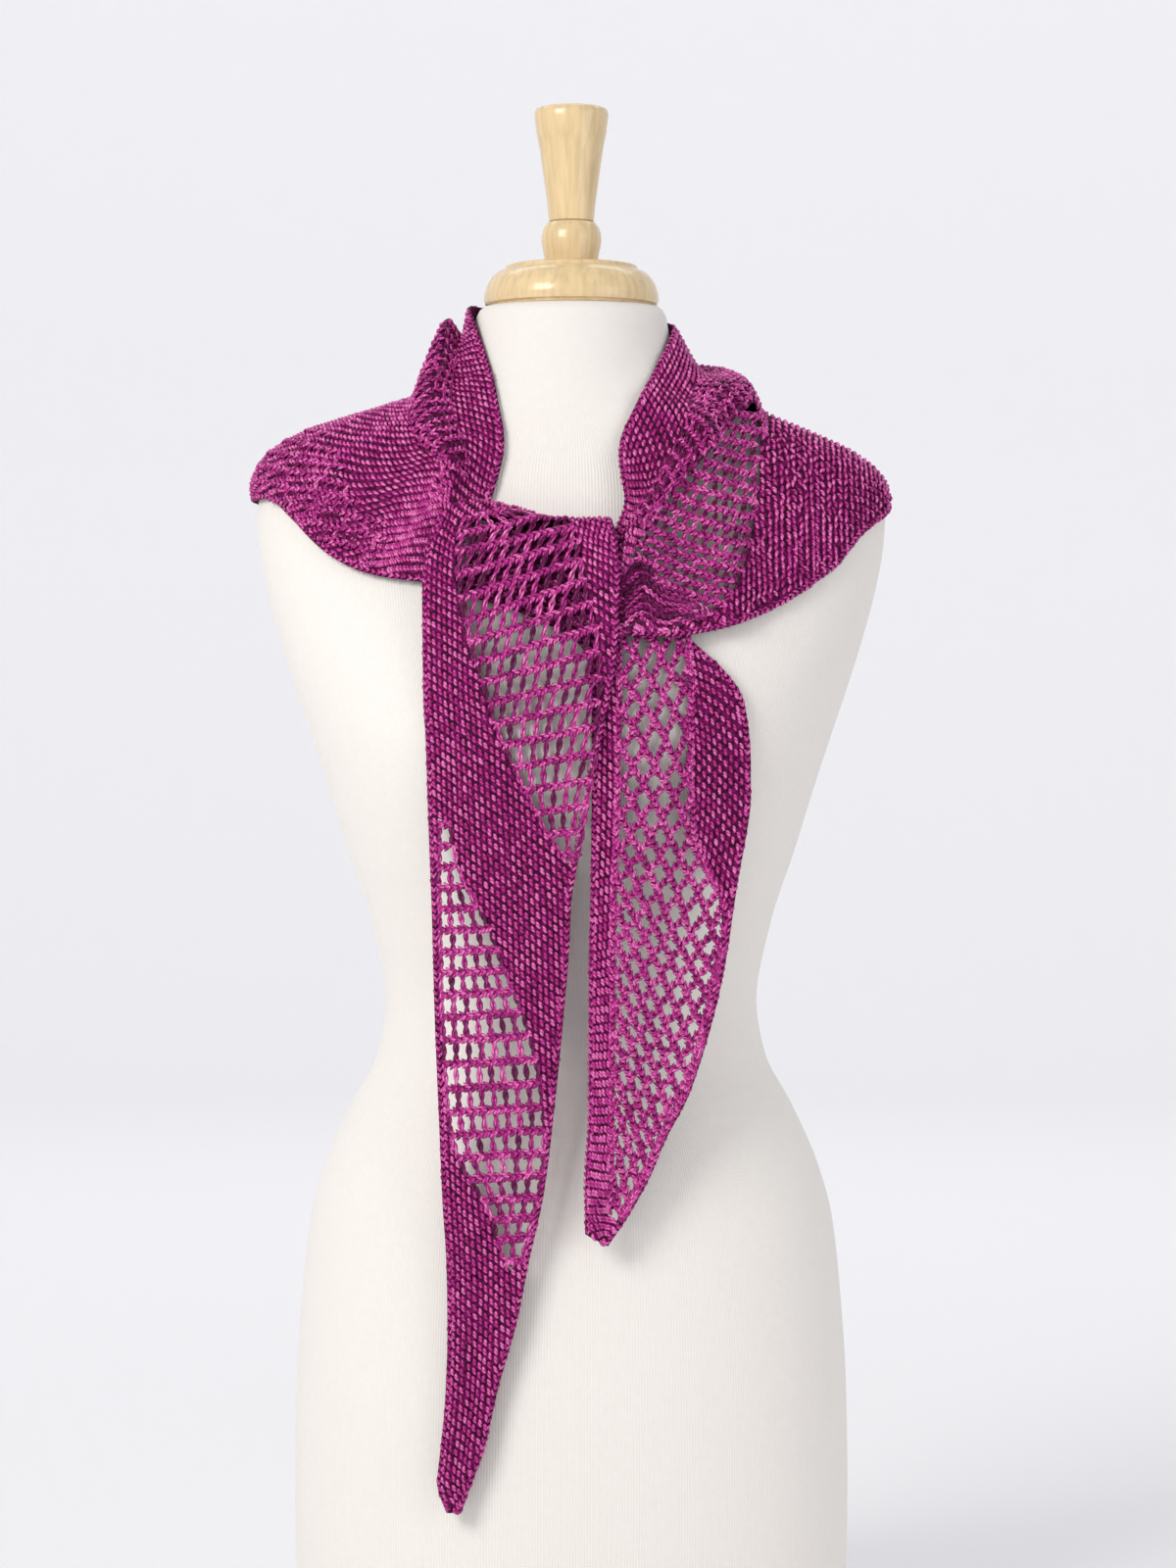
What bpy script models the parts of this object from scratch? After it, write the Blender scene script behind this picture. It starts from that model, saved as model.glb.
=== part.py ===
"""
Knitted triangular scarf, tied once at the front of a limbless dress form.

The form is a lofted torso with a turned wooden cap, ball and handle. The scarf
is cut into the stretches that show: two shoulder wings, a back panel, and the
two tails that leave the knot. The lace gaps of the tails are cut through.

World: metres, +Z up, +X to the viewer's right, and the front faces -Y. The
origin is the centre of the form's flat underside. Tables are in millimetres.
"""

import math

import bmesh
import bpy
from mathutils import Vector
from mathutils.bvhtree import BVHTree

MM = 0.001
COLLECTION = "knitted_scarf_on_dress_form"

# The knitted cloth
WALL = 2.4
LAYER = 3.5
SEAM = 0.4
BODY_CLEARANCE = 1.9

# The dress form
RING_POINTS = 32
NECK_STRAIGHT_FROM = 827.0
NECK_CENTRE_Y = 1.5

# Height, half width, depth in front, depth behind, and how square the section is
BODY = (
    (0.0, 164.0, 98.0, 96.0, 2.2),
    (2.0, 167.5, 101.5, 99.5, 2.2),
    (6.0, 169.5, 103.5, 101.5, 2.2),
    (45.0, 173.5, 108.0, 106.0, 2.2),
    (99.0, 174.5, 110.0, 112.0, 2.2),
    (163.0, 173.5, 112.0, 119.0, 2.2),
    (219.0, 170.0, 111.0, 120.0, 2.2),
    (269.0, 164.5, 107.0, 114.0, 2.2),
    (303.5, 155.0, 102.0, 102.0, 2.15),
    (339.5, 139.0, 94.0, 88.0, 2.1),
    (372.5, 122.0, 88.0, 78.0, 2.05),
    (404.5, 117.0, 87.0, 73.0, 2.05),
    (450.0, 125.0, 96.0, 77.0, 2.1),
    (502.5, 142.0, 112.0, 87.0, 2.2),
    (540.0, 153.5, 123.0, 93.0, 2.3),
    (575.0, 165.0, 128.0, 98.0, 2.35),
    (606.0, 175.5, 124.5, 101.0, 2.3),
    (640.0, 186.0, 113.0, 103.0, 2.25),
    (663.0, 192.0, 103.0, 103.0, 2.2),
    (690.0, 197.0, 91.5, 101.0, 2.15),
    (712.0, 198.5, 83.0, 97.5, 2.1),
    (724.0, 196.5, 78.5, 95.0, 2.1),
    (733.0, 192.0, 74.5, 92.0, 2.05),
    (742.0, 183.0, 71.0, 88.5, 2.0),
    (750.0, 170.0, 68.5, 85.5, 2.0),
    (758.0, 151.5, 66.5, 82.5, 2.0),
    (767.0, 130.5, 64.8, 79.0, 2.0),
    (776.0, 109.0, 63.2, 75.0, 2.0),
    (785.0, 90.0, 61.5, 71.0, 2.0),
    (795.0, 74.5, 59.5, 66.5, 2.0),
    (808.0, 66.0, 57.0, 62.0, 2.0),
    (827.0, 61.5, 54.7, 58.0, 2.0),
    (836.0, 60.0, 54.0, 57.2, 2.0),
    (840.0, 58.0, 52.2, 55.4, 2.0),
    (842.0, 55.5, 50.0, 53.2, 2.0),
)

# Turned profiles: radius and height, from the top down the outer side
CAP_PROFILE = (
    (0.0, 869.3),
    (38.5, 869.3),
    (41.4, 868.4),
    (42.3, 866.0),
    (46.5, 864.6),
    (50.2, 861.6),
    (53.2, 857.0),
    (55.0, 851.5),
    (55.5, 847.0),
    (54.6, 844.3),
    (51.5, 843.8),
    (51.5, 842.3),
    (0.0, 842.3),
)
BALL_PROFILE = (
    (0.0, 896.8),
    (13.8, 896.8),
    (15.4, 895.8),
    (17.5, 892.8),
    (18.8, 888.8),
    (19.0, 884.6),
    (18.4, 880.2),
    (17.3, 875.0),
    (16.6, 869.6),
    (0.0, 869.6),
)
HANDLE_PROFILE = (
    (0.0, 969.0),
    (19.6, 969.0),
    (22.4, 967.8),
    (23.6, 964.8),
    (22.2, 953.0),
    (20.1, 942.6),
    (17.4, 923.6),
    (15.6, 911.0),
    (14.2, 897.1),
    (0.0, 897.1),
)

# Lines that run along the worn part of the scarf, from its pass under the front
# tail, round the viewer's right shoulder, the back and the left shoulder, to
# the knot again. Columns: station, azimuth in degrees, height, clearance.
NECK_EDGE = (
    (-1.6, -122.4, 687.6, 12.5),
    (-0.8, -98.1, 689.9, 12.5),
    (-0.25, -75.8, 683.0, 12.0),
    (0.0, -69.0, 707.0, 9.5),
    (0.6, -67.0, 744.9, 4.5),
    (1.2, -58.9, 769.8, 3.5),
    (1.8, -38.6, 799.7, 3.0),
    (2.4, -4.0, 828.5, 3.0),
    (3.3, 35.0, 837.0, 3.0),
    (4.2, 65.0, 840.0, 3.0),
    (5.0, 90.0, 841.0, 3.0),
    (6.0, 125.0, 843.0, 3.0),
    (7.0, 160.0, 845.0, 3.0),
    (7.4, 184.0, 841.0, 3.0),
    (8.0, 215.7, 807.3, 3.0),
    (8.6, 231.4, 779.4, 3.5),
    (9.2, 238.8, 744.9, 4.0),
    (9.6, 239.1, 722.0, 4.0),
    (10.0, 236.0, 702.0, 4.0),
)
FOOT = (
    (-1.6, -119.5, 663.0, 12.0),
    (-0.8, -97.0, 650.0, 12.0),
    (-0.25, -78.5, 642.0, 11.0),
    (0.0, -71.0, 655.0, 11.0),
    (0.6, -57.0, 697.0, 9.0),
    (1.2, -43.0, 722.0, 6.0),
    (1.8, -26.0, 747.0, 5.0),
    (2.4, -3.0, 773.0, 4.0),
    (3.3, 30.0, 771.0, 2.4),
    (4.2, 60.0, 764.0, 2.1),
    (5.0, 90.0, 762.0, 2.1),
    (6.0, 122.0, 764.0, 2.1),
    (6.8, 152.0, 776.0, 2.4),
    (7.4, 177.0, 787.0, 3.5),
    (8.0, 198.0, 773.0, 3.5),
    (8.6, 210.0, 753.0, 3.0),
    (9.2, 221.0, 732.0, 5.0),
    (9.6, 226.0, 701.0, 7.0),
    (10.0, 232.0, 676.0, 7.0),
)
HEM = (
    (-1.6, -118.7, 656.4, 12.0),
    (-0.8, -96.5, 638.1, 12.0),
    (-0.25, -78.9, 627.9, 11.0),
    (0.0, -74.1, 627.3, 10.0),
    (0.6, -63.5, 627.5, 8.0),
    (1.2, -49.6, 633.5, 6.0),
    (1.8, -33.4, 650.5, 5.0),
    (2.2, -20.9, 673.5, 4.0),
    (2.6, -10.5, 702.0, 3.0),
    (3.0, 3.0, 717.0, 2.4),
    (3.5, 22.0, 702.0, 3.0),
    (4.2, 52.0, 662.0, 4.0),
    (4.7, 76.0, 627.0, 4.0),
    (5.0, 92.0, 612.0, 4.0),
    (5.3, 107.0, 624.0, 4.0),
    (5.9, 130.0, 658.0, 4.0),
    (6.6, 152.0, 697.0, 4.0),
    (7.2, 172.0, 718.0, 3.5),
    (7.7, 187.5, 719.0, 3.5),
    (8.2, 196.1, 702.0, 4.0),
    (8.6, 201.7, 686.7, 4.5),
    (9.0, 209.0, 673.9, 5.0),
    (9.4, 216.0, 667.0, 5.5),
    (10.0, 230.8, 661.0, 6.0),
)
# The crease beside the collar band and the crest of the standing roll.
# Columns: station, azimuth in degrees, radius, height.
VALLEY = (
    (-1.6, -119.0, 120.0, 679.0),
    (-0.8, -96.9, 110.8, 675.0),
    (-0.25, -77.8, 111.5, 673.0),
    (0.0, -69.2, 99.5, 701.0),
    (0.6, -57.0, 94.5, 728.0),
    (1.2, -42.5, 92.5, 761.0),
    (1.8, -28.0, 84.0, 789.0),
    (2.4, -5.0, 84.0, 799.0),
    (3.3, 30.0, 82.0, 802.0),
    (4.2, 60.0, 80.0, 803.0),
    (5.0, 90.0, 80.0, 803.0),
    (6.0, 125.0, 77.0, 809.0),
    (6.8, 155.0, 73.0, 820.0),
    (7.4, 178.0, 69.5, 822.0),
    (8.0, 203.0, 78.0, 794.0),
    (8.6, 218.5, 89.5, 771.0),
    (9.2, 229.5, 95.0, 744.0),
    (9.6, 233.5, 98.5, 719.0),
    (10.0, 234.5, 110.5, 695.0),
)
CREST = (
    (-1.6, -118.1, 123.0, 671.0),
    (-0.8, -96.5, 116.8, 662.0),
    (-0.25, -78.5, 119.9, 657.0),
    (0.0, -68.8, 108.5, 697.0),
    (0.6, -60.0, 112.5, 726.0),
    (1.2, -47.5, 115.0, 749.5),
    (1.8, -28.0, 106.5, 785.0),
    (2.4, -2.0, 106.5, 797.0),
    (3.3, 28.0, 102.5, 808.0),
    (4.2, 60.0, 97.0, 813.0),
    (5.0, 90.0, 95.0, 815.0),
    (6.0, 125.0, 92.0, 821.0),
    (6.8, 155.0, 84.0, 831.0),
    (7.4, 178.0, 79.0, 834.0),
    (8.0, 203.0, 91.0, 801.0),
    (8.6, 217.0, 107.0, 768.0),
    (9.2, 229.0, 115.0, 740.0),
    (9.6, 230.5, 112.5, 711.0),
    (10.0, 233.0, 119.0, 685.0),
)

# Fullness of the standing roll: station, bulge of its outer side
FULLNESS = (
    (-1.6, 0.0),
    (0.0, 0.0),
    (0.8, 2.0),
    (2.4, 3.0),
    (7.4, 3.0),
    (9.0, 1.5),
    (9.5, 0.0),
    (10.0, 0.0),
)

# Stretches of the worn part: name, first and last station, and how many
# sections lie between those stations and the ones named between them
WORN_STRETCHES = (
    ("shoulder_right", ((-1.6, 0), (0.0, 5), (2.2, 8), (3.5, 10), (3.9, 2))),
    ("back_panel", ((3.9, 0), (6.1, 10))),
    ("shoulder_left", ((6.1, 0), (6.9, 3), (8.2, 9), (10.0, 7))),
)
BAND_STEPS = 3
ROLL_STEPS = 4
SIDE_STEPS = 2
FALL_STEPS = 2
CAPE_STEPS = 6
CAPE_SAG_STATION = 7.7
CAPE_SAG_SPREAD = 1.1
CAPE_SAG = 8.0
DRAPED_UNTIL_STATION = 1.4

# Tails, laid out flat against the front: row, then the place of its left end
# and of its right end as x and height. Row 0 is at the knot.
FRONT_TAIL_ROWS = 44
FRONT_TAIL_COLUMNS = 11
FRONT_TAIL_LEFT = (
    (0, -77.3, 711.8),
    (2, -84.4, 697.0),
    (4, -89.7, 677.4),
    (5, -90.3, 661.4),
    (8, -89.7, 616.9),
    (10, -89.4, 593.2),
    (12, -88.0, 567.7),
    (15, -86.8, 528.0),
    (20, -84.4, 464.5),
    (25, -82.6, 399.2),
    (29, -80.2, 341.1),
    (33, -77.9, 286.5),
    (36, -75.5, 248.0),
    (38, -74.9, 210.0),
    (40, -76.1, 170.3),
    (42, -79.7, 131.7),
    (43, -81.4, 115.1),
    (44, -75.5, 97.5),
)
FRONT_TAIL_RIGHT = (
    (0, 21.2, 747.4),
    (3, 23.5, 713.6),
    (4, 25.3, 702.3),
    (5, 27.1, 694.6),
    (6, 28.9, 683.9),
    (7, 29.5, 670.9),
    (9, 28.9, 639.5),
    (11, 25.9, 607.4),
    (13, 20.0, 576.6),
    (15, 12.9, 543.4),
    (18, 5.2, 498.3),
    (20, 0.4, 469.2),
    (22, -0.8, 443.1),
    (25, -4.0, 404.0),
    (29, -9.7, 345.9),
    (33, -16.5, 291.3),
    (36, -25.1, 252.7),
    (38, -32.8, 214.2),
    (40, -44.1, 173.9),
    (42, -53.0, 135.3),
    (43, -59.5, 117.5),
    (44, -66.5, 98.5),
)
# The line where the front tail turns over the knot: x and height
FOLD_LINE = (
    (-77.3, 717.0),
    (-45.8, 712.4),
    (-27.5, 707.7),
    (-10.3, 702.8),
    (29.5, 702.9),
)
FOLD_RADIUS = 7.8
RETURN_CLEARANCE = 2.8
# Height and clearance of the front tail, which lies over the knot
FRONT_TAIL_CLEARANCE = (
    (90.0, 5.0),
    (520.0, 3.5),
    (575.0, 3.5),
    (620.0, 12.0),
    (660.0, 18.0),
    (760.0, 18.5),
)

UNDER_TAIL_ROWS = 30
UNDER_TAIL_COLUMNS = 10
UNDER_TAIL_LEFT = (
    (0, -73.0, 659.5),
    (1, -60.7, 654.9),
    (2, -39.9, 649.0),
    (3, -17.4, 639.5),
    (4, 0.4, 630.0),
    (5, 9.3, 619.3),
    (6, 11.7, 606.2),
    (8, 12.9, 579.6),
    (10, 12.9, 553.5),
    (15, 12.3, 488.8),
    (20, 11.1, 420.6),
    (25, 11.1, 352.4),
    (27, 10.5, 325.1),
    (28, 9.3, 309.7),
    (29, 8.7, 288.9),
    (30, 8.7, 268.2),
)
UNDER_TAIL_RIGHT = (
    (0, -52.5, 700.0),
    (1, -35.0, 696.5),
    (2, -10.3, 690.0),
    (3, 13.5, 684.5),
    (4, 34.2, 674.0),
    (5, 50.8, 660.0),
    (6, 63.9, 644.2),
    (7, 74.6, 627.0),
    (8, 91.2, 612.2),
    (9, 105.4, 591.4),
    (10, 109.6, 555.8),
    (11, 109.6, 532.1),
    (12, 106.6, 508.4),
    (13, 101.8, 482.9),
    (14, 98.9, 463.9),
    (15, 95.3, 439.6),
    (17, 89.4, 409.9),
    (19, 80.5, 377.9),
    (21, 71.0, 350.6),
    (23, 57.4, 325.1),
    (25, 48.5, 303.7),
    (27, 34.2, 278.2),
    (30, 22.4, 261.0),
)
UNDER_TAIL_CLEARANCE = (
    (250.0, 4.0),
    (540.0, 2.6),
    (575.0, 1.75),
    (600.0, 2.4),
    (630.0, 6.5),
    (700.0, 6.5),
)

# Lace zones: height, then x of the zone's left and right border
FRONT_LACE_HIGH = (
    (493.5, -4.3, 3.4),
    (517.3, -19.2, 8.7),
    (541.0, -31.0, 12.9),
    (564.7, -42.9, 16.4),
    (600.3, -54.7, 19.4),
    (630.0, -63.6, 17.6),
    (659.6, -69.6, 10.5),
    (684.0, -70.7, 6.5),
)
FRONT_LACE_LOW = (
    (242.0, -34.0, -32.2),
    (256.3, -42.9, -28.1),
    (280.0, -48.8, -22.1),
    (300.8, -61.9, -17.4),
    (321.5, -71.4, -15.6),
    (342.3, -75.5, -16.2),
    (392.7, -78.5, -25.1),
    (422.4, -79.7, -37.0),
    (458.0, -80.2, -50.6),
    (487.6, -80.8, -66.6),
    (526.2, -81.4, -74.0),
)
UNDER_LACE = (
    (325.0, 26.0, 52.0),
    (342.0, 26.0, 62.0),
    (380.0, 26.0, 80.0),
    (440.0, 26.0, 92.0),
    (490.0, 27.0, 88.0),
    (540.0, 30.0, 76.0),
    (590.0, 32.0, 72.0),
    (605.0, 34.0, 66.0),
)
HOLE_SIDE_MARGIN = 0.19
HOLE_END_MARGIN = 0.21

# Soft folds of the tails: share of the width, half its breadth, height of it
FRONT_TAIL_FOLDS = ((0.30, 0.22, 2.4), (0.78, 0.18, 1.8))
UNDER_TAIL_FOLDS = ((0.42, 0.26, 4.0), (0.93, 0.12, 2.6))
HANG_TAPER = 0.02
DRAPE_PROBES = ((4.0, 8), (8.0, 8))
SMOOTHING_PASSES = 6
CHORD_PASSES = 3

# Colours and finishes
FINISHES = {
    "yarn": ((0.33, 0.025, 0.20), 0.55),
    "jersey": ((0.86, 0.83, 0.78), 0.9),
    "beech": ((0.80, 0.62, 0.34), 0.3),
}


def read_table(table, at):
    """Read a table at a value of its first column, with a smooth curve."""
    first = table[0]
    last = table[-1]
    if at <= first[0]:
        return first[1:]
    if at >= last[0]:
        return last[1:]
    index = 0
    while table[index + 1][0] < at:
        index += 1
    low = table[index]
    high = table[index + 1]
    span = high[0] - low[0]
    share = (at - low[0]) / span
    before = table[index - 1] if index > 0 else None
    after = table[index + 2] if index + 2 < len(table) else None
    values = []
    for column in range(1, len(low)):
        step = (high[column] - low[column]) / span
        slope_low = step
        slope_high = step
        if before:
            earlier = (low[column] - before[column]) / (low[0] - before[0])
            slope_low = steady_slope(earlier, step)
        if after:
            later = (after[column] - high[column]) / (after[0] - high[0])
            slope_high = steady_slope(step, later)
        values.append(
            hermite(low[column], high[column], slope_low * span, slope_high * span, share)
        )
    return tuple(values)


def steady_slope(first, second):
    """A slope between two others that makes no bump of its own."""
    if first * second <= 0.0:
        return 0.0
    return 2.0 * first * second / (first + second)


def hermite(start, end, slope_start, slope_end, share):
    """A cubic between two values with given slopes."""
    square = share * share
    cube = square * share
    return (
        start * (2.0 * cube - 3.0 * square + 1.0)
        + slope_start * (cube - 2.0 * square + share)
        + end * (3.0 * square - 2.0 * cube)
        + slope_end * (cube - square)
    )


def body_section(height):
    """Half width, depths and squareness of the form at a height."""
    return read_table(BODY, min(height, NECK_STRAIGHT_FROM))


def section_radius(section, azimuth):
    """Distance from the form's axis to its surface in one direction."""
    half_width, front, back, power = section
    across = abs(math.cos(azimuth)) / half_width
    along = abs(math.sin(azimuth)) / (back if math.sin(azimuth) > 0.0 else front)
    return (across**power + along**power) ** (-1.0 / power)


def body_excess(point):
    """How far outside the form a point is, as a share of its radius there."""
    radius = math.hypot(point.x, point.y)
    azimuth = math.atan2(point.y, point.x)
    return radius - section_radius(body_section(point.z), azimuth)


def body_normal(point):
    """Direction straight out of the form near a point."""
    step = 0.5
    across = Vector((step, 0.0, 0.0))
    along = Vector((0.0, step, 0.0))
    up = Vector((0.0, 0.0, step))
    slope = Vector(
        (
            body_excess(point + across) - body_excess(point - across),
            body_excess(point + along) - body_excess(point - along),
            body_excess(point + up) - body_excess(point - up),
        )
    )
    return slope.normalized()


def body_distance(point):
    """Distance from a point to the form, below zero inside it."""
    step = 0.5
    normal = body_normal(point)
    rise = body_excess(point + normal * step) - body_excess(point - normal * step)
    return body_excess(point) * 2.0 * step / max(rise, 1e-6)


def on_body(azimuth, height, clearance):
    """A point just off the form's surface."""
    turn = math.radians(azimuth)
    radius = section_radius(body_section(height), turn)
    surface = Vector((radius * math.cos(turn), radius * math.sin(turn), height))
    return surface + body_normal(surface) * clearance


def keep_clear_of_body(point, clearance):
    """Move a point outwards until it is clear of the form."""
    for _ in range(3):
        short = clearance - body_distance(point)
        if short <= 0.0:
            break
        point = point + body_normal(point) * short
    return point


def front_depth(x, height):
    """How far the form's front stands forward of its axis."""
    half_width, front, _, power = body_section(height)
    share = min(abs(x) / half_width, 0.98)
    return front * (1.0 - share**power) ** (1.0 / power)


def hanging_depth(x, height):
    """Depth of cloth that falls over the form and hangs free below the bust."""
    depth = front_depth(x, height)
    level = height + 10.0
    while level < 640.0:
        depth = max(depth, front_depth(x, level) - HANG_TAPER * (level - height))
        level += 10.0
    return depth


def finish_material(name):
    """A plain material for one finish, made once."""
    if name in bpy.data.materials:
        return bpy.data.materials[name]
    colour, roughness = FINISHES[name]
    material = bpy.data.materials.new(name)
    material.use_nodes = True
    shader = material.node_tree.nodes["Principled BSDF"]
    shader.inputs["Base Color"].default_value = (*colour, 1.0)
    shader.inputs["Roughness"].default_value = roughness
    shader.inputs["Metallic"].default_value = 0.0
    material.diffuse_color = (*colour, 1.0)
    return material


def add_piece(name, mesh_builder, finish, collection):
    """Turn a bmesh in millimetres into a named object in metres."""
    bmesh.ops.scale(mesh_builder, vec=(MM, MM, MM), verts=mesh_builder.verts)
    mesh = bpy.data.meshes.new(name)
    mesh_builder.to_mesh(mesh)
    mesh_builder.free()
    mesh.shade_smooth()
    mesh.materials.append(finish_material(finish))
    piece = bpy.data.objects.new(name, mesh)
    collection.objects.link(piece)
    return piece


def make_torso(collection):
    """Loft the torso through the rings of the body table."""
    shape = bmesh.new()
    rings = []
    for height, half_width, front, back, power in BODY:
        ring = []
        for index in range(RING_POINTS):
            turn = 2.0 * math.pi * index / RING_POINTS
            depth = back if math.sin(turn) > 0.0 else front
            azimuth = math.atan2(depth * math.sin(turn), half_width * math.cos(turn))
            radius = section_radius((half_width, front, back, power), azimuth)
            place = (radius * math.cos(azimuth), radius * math.sin(azimuth), height)
            ring.append(shape.verts.new(place))
        rings.append(ring)
    for low, high in zip(rings, rings[1:]):
        for index in range(RING_POINTS):
            after = (index + 1) % RING_POINTS
            shape.faces.new((low[index], low[after], high[after], high[index]))
    shape.faces.new(list(reversed(rings[0])))
    shape.faces.new(rings[-1])
    return add_piece("torso", shape, "jersey", collection)


def make_turning(name, profile, steps, collection):
    """Turn a wooden piece from its profile."""
    shape = bmesh.new()
    points = [shape.verts.new((radius, 0.0, height)) for radius, height in profile]
    for first, second in zip(points, points[1:]):
        shape.edges.new((first, second))
    piece = add_piece(name, shape, "beech", collection)
    piece.location.y = NECK_CENTRE_Y * MM
    screw = piece.modifiers.new("turn", "SCREW")
    screw.steps = steps
    screw.render_steps = steps
    screw.use_merge_vertices = True
    screw.merge_threshold = 0.00001
    return piece


def lay_cloth(name, columns, rows, place, holes, collection):
    """
    Make a knitted wall from a grid of cells.

    place gives the point at a column and a row, which may be fractions. Each
    cell named in holes becomes a frame round a gap.
    """
    shape = bmesh.new()
    grid = [
        [shape.verts.new(place(column, row)) for column in range(columns + 1)]
        for row in range(rows + 1)
    ]
    side = HOLE_SIDE_MARGIN
    end = HOLE_END_MARGIN
    for row in range(rows):
        for column in range(columns):
            outer = (
                grid[row][column],
                grid[row + 1][column],
                grid[row + 1][column + 1],
                grid[row][column + 1],
            )
            if (column, row) not in holes:
                shape.faces.new(outer)
                continue
            inner = (
                shape.verts.new(place(column + side, row + end)),
                shape.verts.new(place(column + side, row + 1.0 - end)),
                shape.verts.new(place(column + 1.0 - side, row + 1.0 - end)),
                shape.verts.new(place(column + 1.0 - side, row + end)),
            )
            for index in range(4):
                after = (index + 1) % 4
                shape.faces.new((outer[index], outer[after], inner[after], inner[index]))
    piece = add_piece(name, shape, "yarn", collection)
    wall = piece.modifiers.new("wall", "SOLIDIFY")
    wall.thickness = WALL * MM
    wall.offset = 0.0
    return piece


def cylinder_point(azimuth, radius, height):
    """A point given round the form's axis."""
    turn = math.radians(azimuth)
    return Vector((radius * math.cos(turn), radius * math.sin(turn), height))


def profile_points(station):
    """Guide points across the worn scarf, from its neck edge to its hem."""
    foot = read_table(FOOT, station)
    hem = read_table(HEM, station)
    crest = cylinder_point(*read_table(CREST, station))
    side = (crest + on_body(*foot)) / 2.0
    outwards = Vector((side.x, side.y, side.xy.length)).normalized()
    points = [
        on_body(*read_table(NECK_EDGE, station)),
        cylinder_point(*read_table(VALLEY, station)),
        crest,
        side + outwards * read_table(FULLNESS, station)[0],
    ]
    offset = min(abs(station - CAPE_SAG_STATION) / CAPE_SAG_SPREAD, 1.0)
    sag = CAPE_SAG * 0.5 * (1.0 + math.cos(math.pi * offset))
    for step in range(CAPE_STEPS + 1):
        share = step / CAPE_STEPS
        azimuth, height, clearance = [
            low + share * (high - low) for low, high in zip(foot, hem)
        ]
        clearance += sag * math.sin(math.pi * share**1.3)
        points.append(on_body(azimuth, height, clearance))
    return points


def curve_point(points, index, share):
    """A point on a smooth curve between two guide points."""
    start = points[index]
    end = points[index + 1]
    before = points[index - 1] if index > 0 else start * 2.0 - end
    after = points[index + 2] if index + 2 < len(points) else end * 2.0 - start
    length = max((end - start).length, 1e-6)
    slope_start = (end - before) * (length / (length + (start - before).length))
    slope_end = (after - start) * (length / (length + (after - end).length))
    return Vector(
        [
            hermite(start[axis], end[axis], slope_start[axis], slope_end[axis], share)
            for axis in range(3)
        ]
    )


def profile_steps():
    """The places across the profile: which guide interval, and the share of it."""
    steps = []
    counts = (BAND_STEPS, ROLL_STEPS, SIDE_STEPS, FALL_STEPS)
    for index, count in enumerate(counts):
        steps += [(index, step / count) for step in range(count)]
    first_cape = len(counts)
    steps += [(first_cape + step, 0.0) for step in range(CAPE_STEPS)]
    steps.append((first_cape + CAPE_STEPS - 1, 1.0))
    return steps


def worn_section(station):
    """All points across the worn scarf at one station, clear of the form."""
    guides = profile_points(station)
    section = [curve_point(guides, index, share) for index, share in profile_steps()]
    return [keep_clear_of_body(point, BODY_CLEARANCE) for point in section]


def surface_trees(pieces):
    """Search trees of finished pieces, modifiers included."""
    graph = bpy.context.evaluated_depsgraph_get()
    graph.update()
    return [BVHTree.FromObject(piece, graph) for piece in pieces]


def probe_places():
    """A point and two rings of points round it, as shifts in the front view."""
    places = [(0.0, 0.0)]
    for reach, count in DRAPE_PROBES:
        for index in range(count):
            turn = 2.0 * math.pi * index / count
            places.append((reach * math.cos(turn), reach * math.sin(turn)))
    return places


def depth_of_pieces(trees, x, height):
    """How far forward of the axis plane some pieces reach around a point."""
    deepest = None
    for shift_x, shift_z in probe_places():
        start = Vector(((x + shift_x) * MM, -1.0, (height + shift_z) * MM))
        for tree in trees:
            hit = tree.ray_cast(start, Vector((0.0, 1.0, 0.0)))[0]
            if hit is not None and hit.y < 0.0:
                depth = -hit.y / MM
                deepest = depth if deepest is None else max(deepest, depth)
    return deepest


def clear_chords(rows):
    """Move a stretch's points outwards until its flat cells clear the form too."""
    for _ in range(CHORD_PASSES):
        for upper, lower in zip(rows, rows[1:]):
            for column in range(len(upper) - 1):
                corners = (
                    upper[column], upper[column + 1], lower[column], lower[column + 1]
                )
                middle = (corners[0] + corners[1] + corners[2] + corners[3]) / 4.0
                ends = (corners[0] + corners[2]) / 2.0
                for place in (middle, ends):
                    short = BODY_CLEARANCE - body_distance(place)
                    if short > 0.0:
                        push = body_normal(place) * short
                        for corner in corners:
                            corner += push


def drape_rows(rows, trees):
    """Lift part of a stretch over the pieces already laid, and smooth the lift."""
    least = []
    for row in rows:
        line = []
        for point in row:
            depth = depth_of_pieces(trees, point.x, point.z)
            under = 0.0 if depth is None else depth + LAYER - 0.5 * WALL
            line.append(max(-point.y, under))
        least.append(line)
    depths = smooth_above(least)
    for row, line in zip(rows, depths):
        for point, depth in zip(row, line):
            point.y = min(point.y, -depth)


def smooth_above(least):
    """Smooth a grid of depths without going under the least ones."""
    last_row = len(least) - 1
    depths = [list(line) for line in least]
    for _ in range(SMOOTHING_PASSES):
        smoothed = [list(line) for line in depths]
        for row, line in enumerate(depths):
            above = depths[max(row - 1, 0)]
            below = depths[min(row + 1, last_row)]
            last_column = len(line) - 1
            for column in range(len(line)):
                before = line[max(column - 1, 0)]
                after = line[min(column + 1, last_column)]
                mean = (above[column] + below[column] + before + after) / 4.0
                smoothed[row][column] = max(least[row][column], mean)
        depths = smoothed
    return depths


def spread_stations(spans):
    """The stations of a stretch, evenly spread between the ones named."""
    stations = [spans[0][0]]
    for (start, _), (end, count) in zip(spans, spans[1:]):
        for step in range(1, count + 1):
            stations.append(start + (end - start) * step / count)
    return stations


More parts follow.
